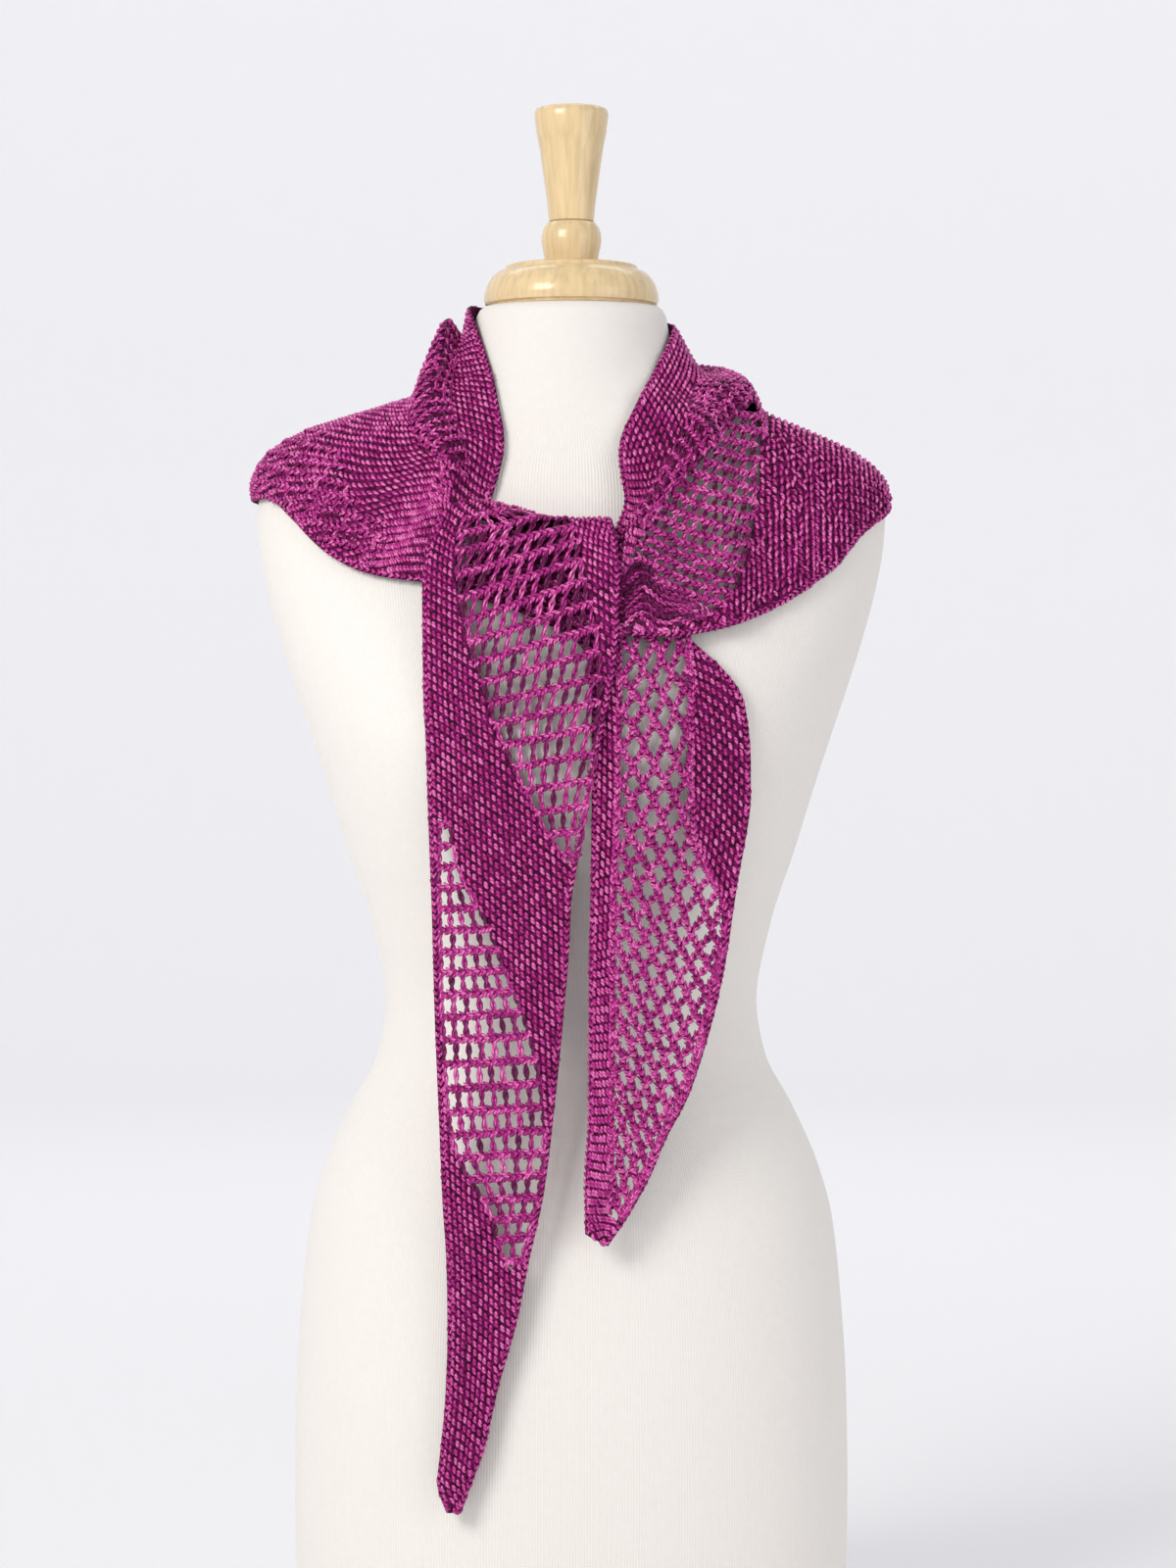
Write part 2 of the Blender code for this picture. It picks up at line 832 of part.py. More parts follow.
def trim_row(row, towards):
    """Draw the end of a stretch in by half a seam."""
    trimmed = []
    for point, inner in zip(row, towards):
        trimmed.append(point + (inner - point).normalized() * 0.5 * SEAM)
    return trimmed


def make_worn_stretch(name, spans, trees, collection):
    """One stretch of the worn scarf, between its first and last station."""
    stations = spread_stations(spans)
    rows = [worn_section(station) for station in stations]
    clear_chords(rows)
    draped = sum(station < DRAPED_UNTIL_STATION for station in stations)
    if draped > 0:
        drape_rows(rows[:draped], trees)
    rows[0] = trim_row(rows[0], rows[1])
    rows[-1] = trim_row(rows[-1], rows[-2])

    def place(column, row):
        return rows[int(row)][int(column)]

    return lay_cloth(name, len(rows[0]) - 1, len(rows) - 1, place, (), collection)


def fold_wave(folds, share):
    """Height of a tail's soft lengthwise folds at a share of its width."""
    height = 0.0
    for centre, breadth, rise in folds:
        offset = abs(share - centre) / breadth
        if offset < 1.0:
            height += rise * 0.5 * (1.0 + math.cos(math.pi * offset))
    return height


def hanging_grid(left, right, columns, rows, clearance, folds, trees, ceiling):
    """
    Depths of a tail that lies over the form, on a grid twice as fine.

    ceiling gives the greatest height that counts at an x, which is where the
    cloth turns over.
    """
    fine_columns = 2 * columns
    fine_rows = 2 * rows
    least = []
    for row in range(fine_rows + 1):
        start = read_table(left, row / 2.0)
        end = read_table(right, row / 2.0)
        line = []
        for column in range(fine_columns + 1):
            share = column / fine_columns
            x = start[0] + share * (end[0] - start[0])
            height = start[1] + share * (end[1] - start[1])
            height = min(height, ceiling(x))
            gap = read_table(clearance, height)[0] + fold_wave(folds, share)
            depth = hanging_depth(x, height) + gap
            under = depth_of_pieces(trees, x, height)
            if under is not None:
                depth = max(depth, under + LAYER - 0.5 * WALL)
            line.append(depth)
        least.append(line)
    return smooth_above(least)


def read_grid(grid, column, row):
    """Read a grid between its points."""
    row_index = min(int(row), len(grid) - 2)
    column_index = min(int(column), len(grid[0]) - 2)
    row_share = row - row_index
    column_share = column - column_index
    low = grid[row_index]
    high = grid[row_index + 1]
    upper = low[column_index] * (1.0 - column_share) + low[column_index + 1] * column_share
    lower = high[column_index] * (1.0 - column_share) + high[column_index + 1] * column_share
    return upper * (1.0 - row_share) + lower * row_share


def flat_place(left, right, columns, column, row):
    """Where a tail's cell corner lies before it is turned over or draped."""
    start = read_table(left, row)
    end = read_table(right, row)
    share = column / columns
    x = start[0] + share * (end[0] - start[0])
    height = start[1] + share * (end[1] - start[1])
    return x, height


def in_zone(zone, x, height):
    """Whether a point lies inside a lace zone."""
    if not zone[0][0] < height < zone[-1][0]:
        return False
    low, high = read_table(zone, height)
    return low < x < high


def lace_cells(left, right, columns, rows, zones):
    """The cells whose middles lie in a lace zone."""
    cells = set()
    for row in range(rows):
        for column in range(columns):
            x, height = flat_place(left, right, columns, column + 0.5, row + 0.5)
            if any(in_zone(zone, x, height) for zone in zones):
                cells.add((column, row))
    return cells


def fold_height(x):
    """Height at which the front tail turns over the knot."""
    return read_table(FOLD_LINE, x)[0]


def make_under_tail(trees, collection):
    """The tail that crosses behind the knot and hangs on the viewer's right."""
    left = UNDER_TAIL_LEFT
    right = UNDER_TAIL_RIGHT
    columns = UNDER_TAIL_COLUMNS
    rows = UNDER_TAIL_ROWS
    depths = hanging_grid(
        left, right, columns, rows, UNDER_TAIL_CLEARANCE, UNDER_TAIL_FOLDS, trees,
        lambda x: BODY[-1][0],
    )

    def place(column, row):
        x, height = flat_place(left, right, columns, column, row)
        return Vector((x, -read_grid(depths, 2.0 * column, 2.0 * row), height))

    holes = lace_cells(left, right, columns, rows, (UNDER_LACE,))
    return lay_cloth("tail_under", columns, rows, place, holes, collection)


def make_front_tail(trees, collection):
    """The long tail, which turns over the knot and hangs in front of it."""
    left = FRONT_TAIL_LEFT
    right = FRONT_TAIL_RIGHT
    columns = FRONT_TAIL_COLUMNS
    rows = FRONT_TAIL_ROWS
    depths = hanging_grid(
        left, right, columns, rows, FRONT_TAIL_CLEARANCE, FRONT_TAIL_FOLDS, trees,
        lambda x: fold_height(x) - FOLD_RADIUS,
    )

    def place(column, row):
        x, height = flat_place(left, right, columns, column, row)
        front = read_grid(depths, 2.0 * column, 2.0 * row)
        spring = fold_height(x) - FOLD_RADIUS
        over = height - spring
        if over <= 0.0:
            return Vector((x, -front, height))
        half_turn = math.pi * FOLD_RADIUS
        if over < half_turn:
            angle = over / FOLD_RADIUS
            back = front_depth(x, spring) + RETURN_CLEARANCE
            share = 0.5 * (1.0 - math.cos(angle))
            depth = front + share * (back - front)
            return Vector((x, -depth, spring + FOLD_RADIUS * math.sin(angle)))
        behind = spring - (over - half_turn)
        return Vector((x, -(front_depth(x, behind) + RETURN_CLEARANCE), behind))

    zones = (FRONT_LACE_HIGH, FRONT_LACE_LOW)
    holes = lace_cells(left, right, columns, rows, zones)
    return lay_cloth("tail_front", columns, rows, place, holes, collection)


def make_scarf(collection):
    """Lay the stretches of the scarf from the form outwards."""
    under_tail = make_under_tail((), collection)
    trees = surface_trees((under_tail,))
    worn = []
    for name, spans in WORN_STRETCHES:
        worn.append(make_worn_stretch(name, spans, trees, collection))
    trees = surface_trees((under_tail, *worn))
    make_front_tail(trees, collection)


def make_wood(collection):
    """The turned cap, ball and handle on the neck."""
    make_turning("neck_cap", CAP_PROFILE, 28, collection)
    make_turning("finial_ball", BALL_PROFILE, 20, collection)
    make_turning("finial_handle", HANDLE_PROFILE, 20, collection)


def main():
    for thing in list(bpy.data.objects):
        bpy.data.objects.remove(thing, do_unlink=True)
    collection = bpy.data.collections.new(COLLECTION)
    bpy.context.scene.collection.children.link(collection)
    make_torso(collection)
    make_wood(collection)
    make_scarf(collection)


main()
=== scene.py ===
"""
Knitted triangular scarf, tied once at the front of a limbless dress form.

Every stretch of the scarf is a thin knitted ground with its stitches laid on it:
garter bumps, chains of V stitches, and the twisted bars of the lace. The ground
is coloured dark as painted shade between and behind the stitches. The
stretches follow the same guide tables as the solids that they stand for. The
form and its turned wood are smooth pieces on the solids' own sections.

Metres in the scene, +Z up, and the front faces -Y. Tables are in millimetres.
"""

import math
from dataclasses import dataclass

import bmesh
import bpy
import numpy as np
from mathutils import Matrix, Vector
from mathutils.bvhtree import BVHTree


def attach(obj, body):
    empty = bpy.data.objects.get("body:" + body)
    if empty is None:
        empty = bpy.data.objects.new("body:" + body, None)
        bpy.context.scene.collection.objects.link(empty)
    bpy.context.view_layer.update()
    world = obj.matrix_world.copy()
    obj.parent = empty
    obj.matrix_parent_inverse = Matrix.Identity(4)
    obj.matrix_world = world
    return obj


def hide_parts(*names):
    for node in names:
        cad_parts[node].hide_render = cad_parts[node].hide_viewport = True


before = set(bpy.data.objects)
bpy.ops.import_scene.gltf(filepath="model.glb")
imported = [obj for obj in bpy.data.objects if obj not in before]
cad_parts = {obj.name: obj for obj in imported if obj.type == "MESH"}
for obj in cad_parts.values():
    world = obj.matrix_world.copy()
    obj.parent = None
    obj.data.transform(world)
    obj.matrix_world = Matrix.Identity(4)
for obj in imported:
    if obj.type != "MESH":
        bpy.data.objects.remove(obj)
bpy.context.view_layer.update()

bl_info = {
    "name": "Knitted scarf on a dress form",
    "version": (1, 0, 0),
    "blender": (4, 5, 0),
    "location": "3D View > Sidebar > Scarf",
    "description": "Knits a lace scarf on a jersey-covered dress form",
    "category": "Add Mesh",
}

MM = 0.001

# The knitted cloth: thickness of its wall, distance between the middles of two
# layers, and least clearance from the form
WALL = 2.4
LAYER = 3.5
BODY_CLEARANCE = 1.9

# The dress form: the height at which its neck turns straight, and how far the
# neck lies behind the form's axis
NECK_STRAIGHT_FROM = 827.0
NECK_CENTRE_Y = 1.5

# Height, half width, depth in front, depth behind, and how square the section is
BODY = (
    (0, 164, 98, 96, 2.2), (2, 167.5, 101.5, 99.5, 2.2), (6, 169.5, 103.5, 101.5, 2.2),
    (45, 173.5, 108, 106, 2.2), (99, 174.5, 110, 112, 2.2), (163, 173.5, 112, 119, 2.2),
    (219, 170, 111, 120, 2.2), (269, 164.5, 107, 114, 2.2), (303.5, 155, 102, 102, 2.15),
    (339.5, 139, 94, 88, 2.1), (372.5, 122, 88, 78, 2.05), (404.5, 117, 87, 73, 2.05),
    (450, 125, 96, 77, 2.1), (502.5, 142, 112, 87, 2.2), (540, 153.5, 123, 93, 2.3),
    (575, 165, 128, 98, 2.35), (606, 175.5, 124.5, 101, 2.3), (640, 186, 113, 103, 2.25),
    (663, 192, 103, 103, 2.2), (690, 197, 91.5, 101, 2.15), (712, 198.5, 83, 97.5, 2.1),
    (724, 196.5, 78.5, 95, 2.1), (733, 192, 74.5, 92, 2.05), (742, 183, 71, 88.5, 2),
    (750, 170, 68.5, 85.5, 2), (758, 151.5, 66.5, 82.5, 2), (767, 130.5, 64.8, 79, 2),
    (776, 109, 63.2, 75, 2), (785, 90, 61.5, 71, 2), (795, 74.5, 59.5, 66.5, 2),
    (808, 66, 57, 62, 2), (827, 61.5, 54.7, 58, 2), (836, 60, 54, 57.2, 2),
    (840, 58, 52.2, 55.4, 2), (842, 55.5, 50, 53.2, 2),
)

# Lines that run along the worn part of the scarf, from its pass under the front
# tail, round the viewer's right shoulder, the back and the left shoulder, to
# the knot again. Columns: station, azimuth in degrees, height, clearance.
NECK_EDGE = (
    (-1.6, -122.4, 687.6, 12.5), (-0.8, -98.1, 689.9, 12.5), (-0.25, -75.8, 683, 12),
    (0, -69, 707, 9.5), (0.6, -67, 744.9, 4.5), (1.2, -58.9, 769.8, 3.5), (1.8, -38.6, 799.7, 3),
    (2.4, -4, 828.5, 3), (3.3, 35, 837, 3), (4.2, 65, 840, 3), (5, 90, 841, 3), (6, 125, 843, 3),
    (7, 160, 845, 3), (7.4, 184, 841, 3), (8, 215.7, 807.3, 3), (8.6, 231.4, 779.4, 3.5),
    (9.2, 238.8, 744.9, 4), (9.6, 239.1, 722, 4), (10, 236, 702, 4),
)
FOOT = (
    (-1.6, -119.5, 663, 12), (-0.8, -97, 650, 12), (-0.25, -78.5, 642, 11), (0, -71, 655, 11),
    (0.6, -57, 697, 9), (1.2, -43, 722, 6), (1.8, -26, 747, 5), (2.4, -3, 773, 4),
    (3.3, 30, 771, 2.4), (4.2, 60, 764, 2.1), (5, 90, 762, 2.1), (6, 122, 764, 2.1),
    (6.8, 152, 776, 2.4), (7.4, 177, 787, 3.5), (8, 198, 773, 3.5), (8.6, 210, 753, 3),
    (9.2, 221, 732, 5), (9.6, 226, 701, 7), (10, 232, 676, 7),
)
HEM = (
    (-1.6, -118.7, 656.4, 12), (-0.8, -96.5, 638.1, 12), (-0.25, -78.9, 627.9, 11),
    (0, -74.1, 627.3, 10), (0.6, -63.5, 627.5, 8), (1.2, -49.6, 633.5, 6), (1.8, -33.4, 650.5, 5),
    (2.2, -20.9, 673.5, 4), (2.6, -10.5, 702, 3), (3, 3, 717, 2.4), (3.5, 22, 702, 3),
    (4.2, 52, 662, 4), (4.7, 76, 627, 4), (5, 92, 612, 4), (5.3, 107, 624, 4), (5.9, 130, 658, 4),
    (6.6, 152, 697, 4), (7.2, 172, 718, 3.5), (7.7, 187.5, 719, 3.5), (8.2, 196.1, 702, 4),
    (8.6, 201.7, 686.7, 4.5), (9, 209, 673.9, 5), (9.4, 216, 667, 5.5), (10, 230.8, 661, 6),
)
# The crease beside the collar band and the crest of the standing roll.
# Columns: station, azimuth in degrees, radius, height.
VALLEY = (
    (-1.6, -119, 120, 679), (-0.8, -96.9, 110.8, 675), (-0.25, -77.8, 111.5, 673),
    (0, -69.2, 99.5, 701), (0.6, -57, 94.5, 728), (1.2, -42.5, 92.5, 761), (1.8, -28, 84, 789),
    (2.4, -5, 84, 799), (3.3, 30, 82, 802), (4.2, 60, 80, 803), (5, 90, 80, 803), (6, 125, 77, 809),
    (6.8, 155, 73, 820), (7.4, 178, 69.5, 822), (8, 203, 78, 794), (8.6, 218.5, 89.5, 771),
    (9.2, 229.5, 95, 744), (9.6, 233.5, 98.5, 719), (10, 234.5, 110.5, 695),
)
CREST = (
    (-1.6, -118.1, 123, 671), (-0.8, -96.5, 116.8, 662), (-0.25, -78.5, 119.9, 657),
    (0, -68.8, 108.5, 697), (0.6, -60, 112.5, 726), (1.2, -47.5, 115, 749.5),
    (1.8, -28, 106.5, 785), (2.4, -2, 106.5, 797), (3.3, 28, 102.5, 808), (4.2, 60, 97, 813),
    (5, 90, 95, 815), (6, 125, 92, 821), (6.8, 155, 84, 831), (7.4, 178, 79, 834),
    (8, 203, 91, 801), (8.6, 217, 107, 768), (9.2, 229, 115, 740), (9.6, 230.5, 112.5, 711),
    (10, 233, 119, 685),
)

# Fullness of the standing roll: station, bulge of its outer side
FULLNESS = (
    (-1.6, 0), (0, 0), (0.8, 2), (2.4, 3), (7.4, 3), (9, 1.5), (9.5, 0), (10, 0),
)

# Stretches of the worn part: name, first and last station, and how many
# sections lie between those stations and the ones named between them
WORN_STRETCHES = (
    ("shoulder_right", ((-1.6, 0), (0.0, 5), (2.2, 8), (3.5, 10), (3.9, 2))),
    ("back_panel", ((3.9, 0), (6.1, 10))),
    ("shoulder_left", ((6.1, 0), (6.9, 3), (8.2, 9), (10.0, 7))),
)
# Points across the collar band, the inner and the outer side of the roll, the
# fall to the body and the cape
BAND_STEPS = 3
ROLL_STEPS = 4
SIDE_STEPS = 2
FALL_STEPS = 2
CAPE_STEPS = 6
# Where the cape sags between the roll and its hem, over how many stations, and
# by how much; then the station up to which it lies over the under tail
CAPE_SAG_STATION = 7.7
CAPE_SAG_SPREAD = 1.1
CAPE_SAG = 8.0
DRAPED_UNTIL_STATION = 1.4

# Edges of the tails, laid out flat against the front: row, x and height. Row 0
# is at the knot.
FRONT_TAIL_LEFT = (
    (0, -77.3, 711.8), (2, -84.4, 697), (4, -89.7, 677.4), (5, -90.3, 661.4), (8, -89.7, 616.9),
    (10, -89.4, 593.2), (12, -88, 567.7), (15, -86.8, 528), (20, -84.4, 464.5), (25, -82.6, 399.2),
    (29, -80.2, 341.1), (33, -77.9, 286.5), (36, -75.5, 248), (38, -74.9, 210), (40, -76.1, 170.3),
    (42, -79.7, 131.7), (43, -81.4, 115.1), (44, -75.5, 97.5),
)
FRONT_TAIL_RIGHT = (
    (0, 21.2, 747.4), (3, 23.5, 713.6), (4, 25.3, 702.3), (5, 27.1, 694.6), (6, 28.9, 683.9),
    (7, 29.5, 670.9), (9, 28.9, 639.5), (11, 25.9, 607.4), (13, 20, 576.6), (15, 12.9, 543.4),
    (18, 5.2, 498.3), (20, 0.4, 469.2), (22, -0.8, 443.1), (25, -4, 404), (29, -9.7, 345.9),
    (33, -16.5, 291.3), (36, -25.1, 252.7), (38, -32.8, 214.2), (40, -44.1, 173.9),
    (42, -53, 135.3), (43, -59.5, 117.5), (44, -66.5, 98.5),
)
UNDER_TAIL_LEFT = (
    (0, -73, 659.5), (1, -60.7, 654.9), (2, -39.9, 649), (3, -17.4, 639.5), (4, 0.4, 630),
    (5, 9.3, 619.3), (6, 11.7, 606.2), (8, 12.9, 579.6), (10, 12.9, 553.5), (15, 12.3, 488.8),
    (20, 11.1, 420.6), (25, 11.1, 352.4), (27, 10.5, 325.1), (28, 9.3, 309.7), (29, 8.7, 288.9),
    (30, 8.7, 268.2),
)
UNDER_TAIL_RIGHT = (
    (0, -52.5, 700), (1, -35, 696.5), (2, -10.3, 690), (3, 13.5, 684.5), (4, 34.2, 674),
    (5, 50.8, 660), (6, 63.9, 644.2), (7, 74.6, 627), (8, 91.2, 612.2), (9, 105.4, 591.4),
    (10, 109.6, 555.8), (11, 109.6, 532.1), (12, 106.6, 508.4), (13, 101.8, 482.9),
    (14, 98.9, 463.9), (15, 95.3, 439.6), (17, 89.4, 409.9), (19, 80.5, 377.9), (21, 71, 350.6),
    (23, 57.4, 325.1), (25, 48.5, 303.7), (27, 34.2, 278.2), (30, 22.4, 261),
)

# Lace zones: height, then x of the zone's left and right border
FRONT_LACE_HIGH = (
    (493.5, -4.3, 3.4), (517.3, -19.2, 8.7), (541, -31, 12.9), (564.7, -42.9, 16.4),
    (600.3, -54.7, 19.4), (630, -63.6, 17.6), (659.6, -69.6, 10.5), (684, -70.7, 6.5),
    (697, -69, 2), (709, -64, -4),
)
FRONT_LACE_LOW = (
    (242, -34, -32.2), (256.3, -42.9, -28.1), (280, -48.8, -22.1), (300.8, -61.9, -17.4),
    (321.5, -71.4, -15.6), (342.3, -75.5, -16.2), (392.7, -78.5, -25.1), (422.4, -79.7, -37),
    (458, -80.2, -50.6), (487.6, -80.8, -66.6), (526.2, -81.4, -74),
)
UNDER_LACE = (
    (272, 22, 27), (300, 23.5, 43), (325, 24.5, 54), (361, 25, 72), (400, 25, 83), (421, 25, 88),
    (463, 25.5, 94), (485, 26, 86), (511, 27, 75), (559, 28, 73), (601, 29, 74), (640, 29, 70),
)

# The turn of the front tail over the knot
FOLD_RADIUS = 7.8
RETURN_CLEARANCE = 2.8
# How cloth hangs free below the bust: height of the bust, the steps it is felt
# for in, and how much nearer the form the cloth is for each millimetre it falls
BUST_HEIGHT = 640.0
HANG_STEP = 10.0
HANG_TAPER = 0.02
# How cloth drapes: rings of probes as reach and count, then how often a lift is
# smoothed and how often the cells are moved clear of the form
DRAPE_PROBES = ((4.0, 8), (8.0, 8))
SMOOTHING_PASSES = 6
CHORD_PASSES = 3


def slope_between(low, high, column):
    """How steeply one column of a table rises from a row to another."""
    return (high[column] - low[column]) / (high[0] - low[0])


def read_table(table, at):
    """Read a table at a value of its first column, with a smooth curve."""
    if at <= table[0][0]:
        return table[0][1:]
    if at >= table[-1][0]:
        return table[-1][1:]
    index = 0
    while table[index + 1][0] < at:
        index += 1
    low, high = table[index], table[index + 1]
    span = high[0] - low[0]
    values = []
    for column in range(1, len(low)):
        step = slope_between(low, high, column)
        slopes = [step, step]
        if index > 0:
            slopes[0] = steady_slope(slope_between(table[index - 1], low, column), step)
        if index + 2 < len(table):
            slopes[1] = steady_slope(step, slope_between(high, table[index + 2], column))
        ends = (low[column], high[column])
        values.append(hermite(*ends, slopes[0] * span, slopes[1] * span, (at - low[0]) / span))
    return tuple(values)


def steady_slope(first, second):
    """A slope between two others that makes no bump of its own."""
    if first * second <= 0.0:
        return 0.0
    return 2.0 * first * second / (first + second)


def hermite(start, end, slope_start, slope_end, share):
    """A cubic between two values with given slopes."""
    square = share * share
    cube = square * share
    return (
        start * (2.0 * cube - 3.0 * square + 1.0)
        + slope_start * (cube - 2.0 * square + share)
        + end * (3.0 * square - 2.0 * cube)
        + slope_end * (cube - square)
    )


def body_section(height):
    """Half width, depths and squareness of the form at a height."""
    return read_table(BODY, min(height, NECK_STRAIGHT_FROM))


def section_radius(section, azimuth):
    """Distance from the form's axis to its surface in one direction."""
    half_width, front, back, power = section
    across = abs(math.cos(azimuth)) / half_width
    along = abs(math.sin(azimuth)) / (back if math.sin(azimuth) > 0.0 else front)
    return (across**power + along**power) ** (-1.0 / power)


def body_excess(point):
    """How far outside the form a point is, measured out from the axis."""
    radius = math.hypot(point.x, point.y)
    azimuth = math.atan2(point.y, point.x)
    return radius - section_radius(body_section(point.z), azimuth)


def body_normal(point):
    """Direction straight out of the form near a point."""
    slope = []
    for direction in ((0.5, 0.0, 0.0), (0.0, 0.5, 0.0), (0.0, 0.0, 0.5)):
        step = Vector(direction)
        slope.append(body_excess(point + step) - body_excess(point - step))
    return Vector(slope).normalized()


def body_distance(point):
    """Distance from a point to the form, below zero inside it."""
    step = 0.5
    normal = body_normal(point)
    rise = body_excess(point + normal * step) - body_excess(point - normal * step)
    return body_excess(point) * 2.0 * step / max(rise, 1e-6)


def cylinder_point(azimuth, radius, height):
    """A point given round the form's axis."""
    turn = math.radians(azimuth)
    return Vector((radius * math.cos(turn), radius * math.sin(turn), height))


def on_body(azimuth, height, clearance):
    """A point just off the form's surface."""
    radius = section_radius(body_section(height), math.radians(azimuth))
    surface = cylinder_point(azimuth, radius, height)
    return surface + body_normal(surface) * clearance


def keep_clear_of_body(point, clearance):
    """Move a point outwards until it is clear of the form."""
    for _ in range(3):
        short = clearance - body_distance(point)
        if short <= 0.0:
            break
        point = point + body_normal(point) * short
    return point


def front_depth(x, height):
    """How far the form's front stands forward of its axis."""
    half_width, front, _, power = body_section(height)
    share = min(abs(x) / half_width, 0.98)
    return front * (1.0 - share**power) ** (1.0 / power)


def hanging_depth(x, height):
    """Depth of cloth that falls over the form and hangs free below the bust."""
    depth = front_depth(x, height)
    level = height + HANG_STEP
    while level < BUST_HEIGHT:
        depth = max(depth, front_depth(x, level) - HANG_TAPER * (level - height))
        level += HANG_STEP
    return depth


def profile_points(station):
    """Guide points across the worn scarf, from its neck edge to its hem."""
    foot = read_table(FOOT, station)
    hem = read_table(HEM, station)
    crest = cylinder_point(*read_table(CREST, station))
    side = (crest + on_body(*foot)) / 2.0
    outwards = Vector((side.x, side.y, side.xy.length)).normalized()
    points = [
        on_body(*read_table(NECK_EDGE, station)),
        cylinder_point(*read_table(VALLEY, station)),
        crest,
        side + outwards * read_table(FULLNESS, station)[0],
    ]
    offset = min(abs(station - CAPE_SAG_STATION) / CAPE_SAG_SPREAD, 1.0)
    sag = CAPE_SAG * 0.5 * (1.0 + math.cos(math.pi * offset))
    for step in range(CAPE_STEPS + 1):
        share = step / CAPE_STEPS
        azimuth, height, clearance = [low + share * (high - low) for low, high in zip(foot, hem)]
        clearance += sag * math.sin(math.pi * share**1.3)
        points.append(on_body(azimuth, height, clearance))
    return points


def curve_point(points, index, share):
    """A point on a smooth curve between two guide points."""
    start, end = points[index], points[index + 1]
    before = points[index - 1] if index > 0 else start * 2.0 - end
    after = points[index + 2] if index + 2 < len(points) else end * 2.0 - start
    length = max((end - start).length, 1e-6)
    slope_start = (end - before) * (length / (length + (start - before).length))
    slope_end = (after - start) * (length / (length + (after - end).length))
    return Vector([hermite(*ends, share) for ends in zip(start, end, slope_start, slope_end)])


def profile_steps():
    """The places across the profile: which guide interval, and the share of it."""
    counts = [BAND_STEPS, ROLL_STEPS, SIDE_STEPS, FALL_STEPS] + [1] * CAPE_STEPS
    steps = [(index, step / count) for index, count in enumerate(counts) for step in range(count)]
    return [*steps, (len(counts) - 1, 1.0)]


def worn_section(station):
    """All points across the worn scarf at one station, clear of the form."""
    guides = profile_points(station)
    section = [curve_point(guides, index, share) for index, share in profile_steps()]
    return [keep_clear_of_body(point, BODY_CLEARANCE) for point in section]


def probe_places():
    """A point and two rings of points round it, as shifts in the front view."""
    places = [(0.0, 0.0)]
    for reach, count in DRAPE_PROBES:
        for index in range(count):
            turn = 2.0 * math.pi * index / count
            places.append((reach * math.cos(turn), reach * math.sin(turn)))
    return places


def depth_of_pieces(trees, x, height):
    """How far forward of the axis plane some pieces reach around a point."""
    deepest = None
    for shift_x, shift_z in probe_places():
        start = Vector(((x + shift_x) * MM, -1.0, (height + shift_z) * MM))
        for tree in trees:
            hit = tree.ray_cast(start, Vector((0.0, 1.0, 0.0)))[0]
            if hit is not None and hit.y < 0.0:
                depth = -hit.y / MM
                deepest = depth if deepest is None else max(deepest, depth)
    return deepest


def clear_chords(rows):
    """Move a stretch's points outwards until its flat cells clear the form too."""
    for _ in range(CHORD_PASSES):
        for upper, lower in zip(rows, rows[1:]):
            for column in range(len(upper) - 1):
                corners = [line[at] for line in (upper, lower) for at in (column, column + 1)]
                middle = (corners[0] + corners[1] + corners[2] + corners[3]) / 4.0
                ends = (corners[0] + corners[2]) / 2.0
                for place in (middle, ends):
                    short = BODY_CLEARANCE - body_distance(place)
                    if short > 0.0:
                        push = body_normal(place) * short
                        for corner in corners:
                            corner += push


def drape_rows(rows, trees):
    """Lift part of a stretch over the pieces already laid, and smooth the lift."""
    least = []
    for row in rows:
        line = []
        for point in row:
            depth = depth_of_pieces(trees, point.x, point.z)
            under = 0.0 if depth is None else depth + LAYER - 0.5 * WALL
            line.append(max(-point.y, under))
        least.append(line)
    depths = smooth_above(least)
    for row, line in zip(rows, depths):
        for point, depth in zip(row, line):
            point.y = min(point.y, -depth)


def smooth_above(least):
    """Smooth a grid of depths without going under the least ones."""
    least = np.array(least)
    depths = least
    for _ in range(SMOOTHING_PASSES):
        framed = np.pad(depths, 1, mode="edge")
        across = framed[1:-1]
        mean = (framed[:-2, 1:-1] + framed[2:, 1:-1] + across[:, :-2] + across[:, 2:]) / 4.0
        depths = np.maximum(least, mean)
    return depths


def spread_stations(spans):
    """The stations of a stretch, evenly spread between the ones named."""
    stations = [spans[0][0]]
    for (start, _), (end, count) in zip(spans, spans[1:]):
        for step in range(1, count + 1):
            stations.append(start + (end - start) * step / count)
    return stations


def fold_wave(folds, share):
    """Height of a tail's soft lengthwise folds at a share of its width."""
    height = 0.0
    for centre, breadth, rise in folds:
        offset = abs(share - centre) / breadth
        if offset < 1.0:
            height += rise * 0.5 * (1.0 + math.cos(math.pi * offset))
    return height


@dataclass(frozen=True)
class Tail:
    """
    A tail, laid out flat against the front in rows and columns of cells.

    left and right are its edges. clearance is its distance from the form at a
    height. folds are its soft lengthwise folds: share of the width, half the
    breadth, and height. lies_over names the solids below it. turn is the line
    where it turns over, as x and height, and is out of reach where it doesn't.
    """

    left: tuple
    right: tuple
    rows: int
    columns: int
    clearance: tuple
    folds: tuple
    lies_over: tuple = ()
    turn: tuple = ((0, 900),)

    def flat_place(self, column, row):
        """The x and height of a cell corner before the tail is turned or draped."""
        start = read_table(self.left, row)
        end = read_table(self.right, row)
        share = column / self.columns
        return [low + share * (high - low) for low, high in zip(start, end)]

    def spring(self, x):
        """The height at which the tail begins to turn over the knot."""
        return read_table(self.turn, x)[0] - FOLD_RADIUS


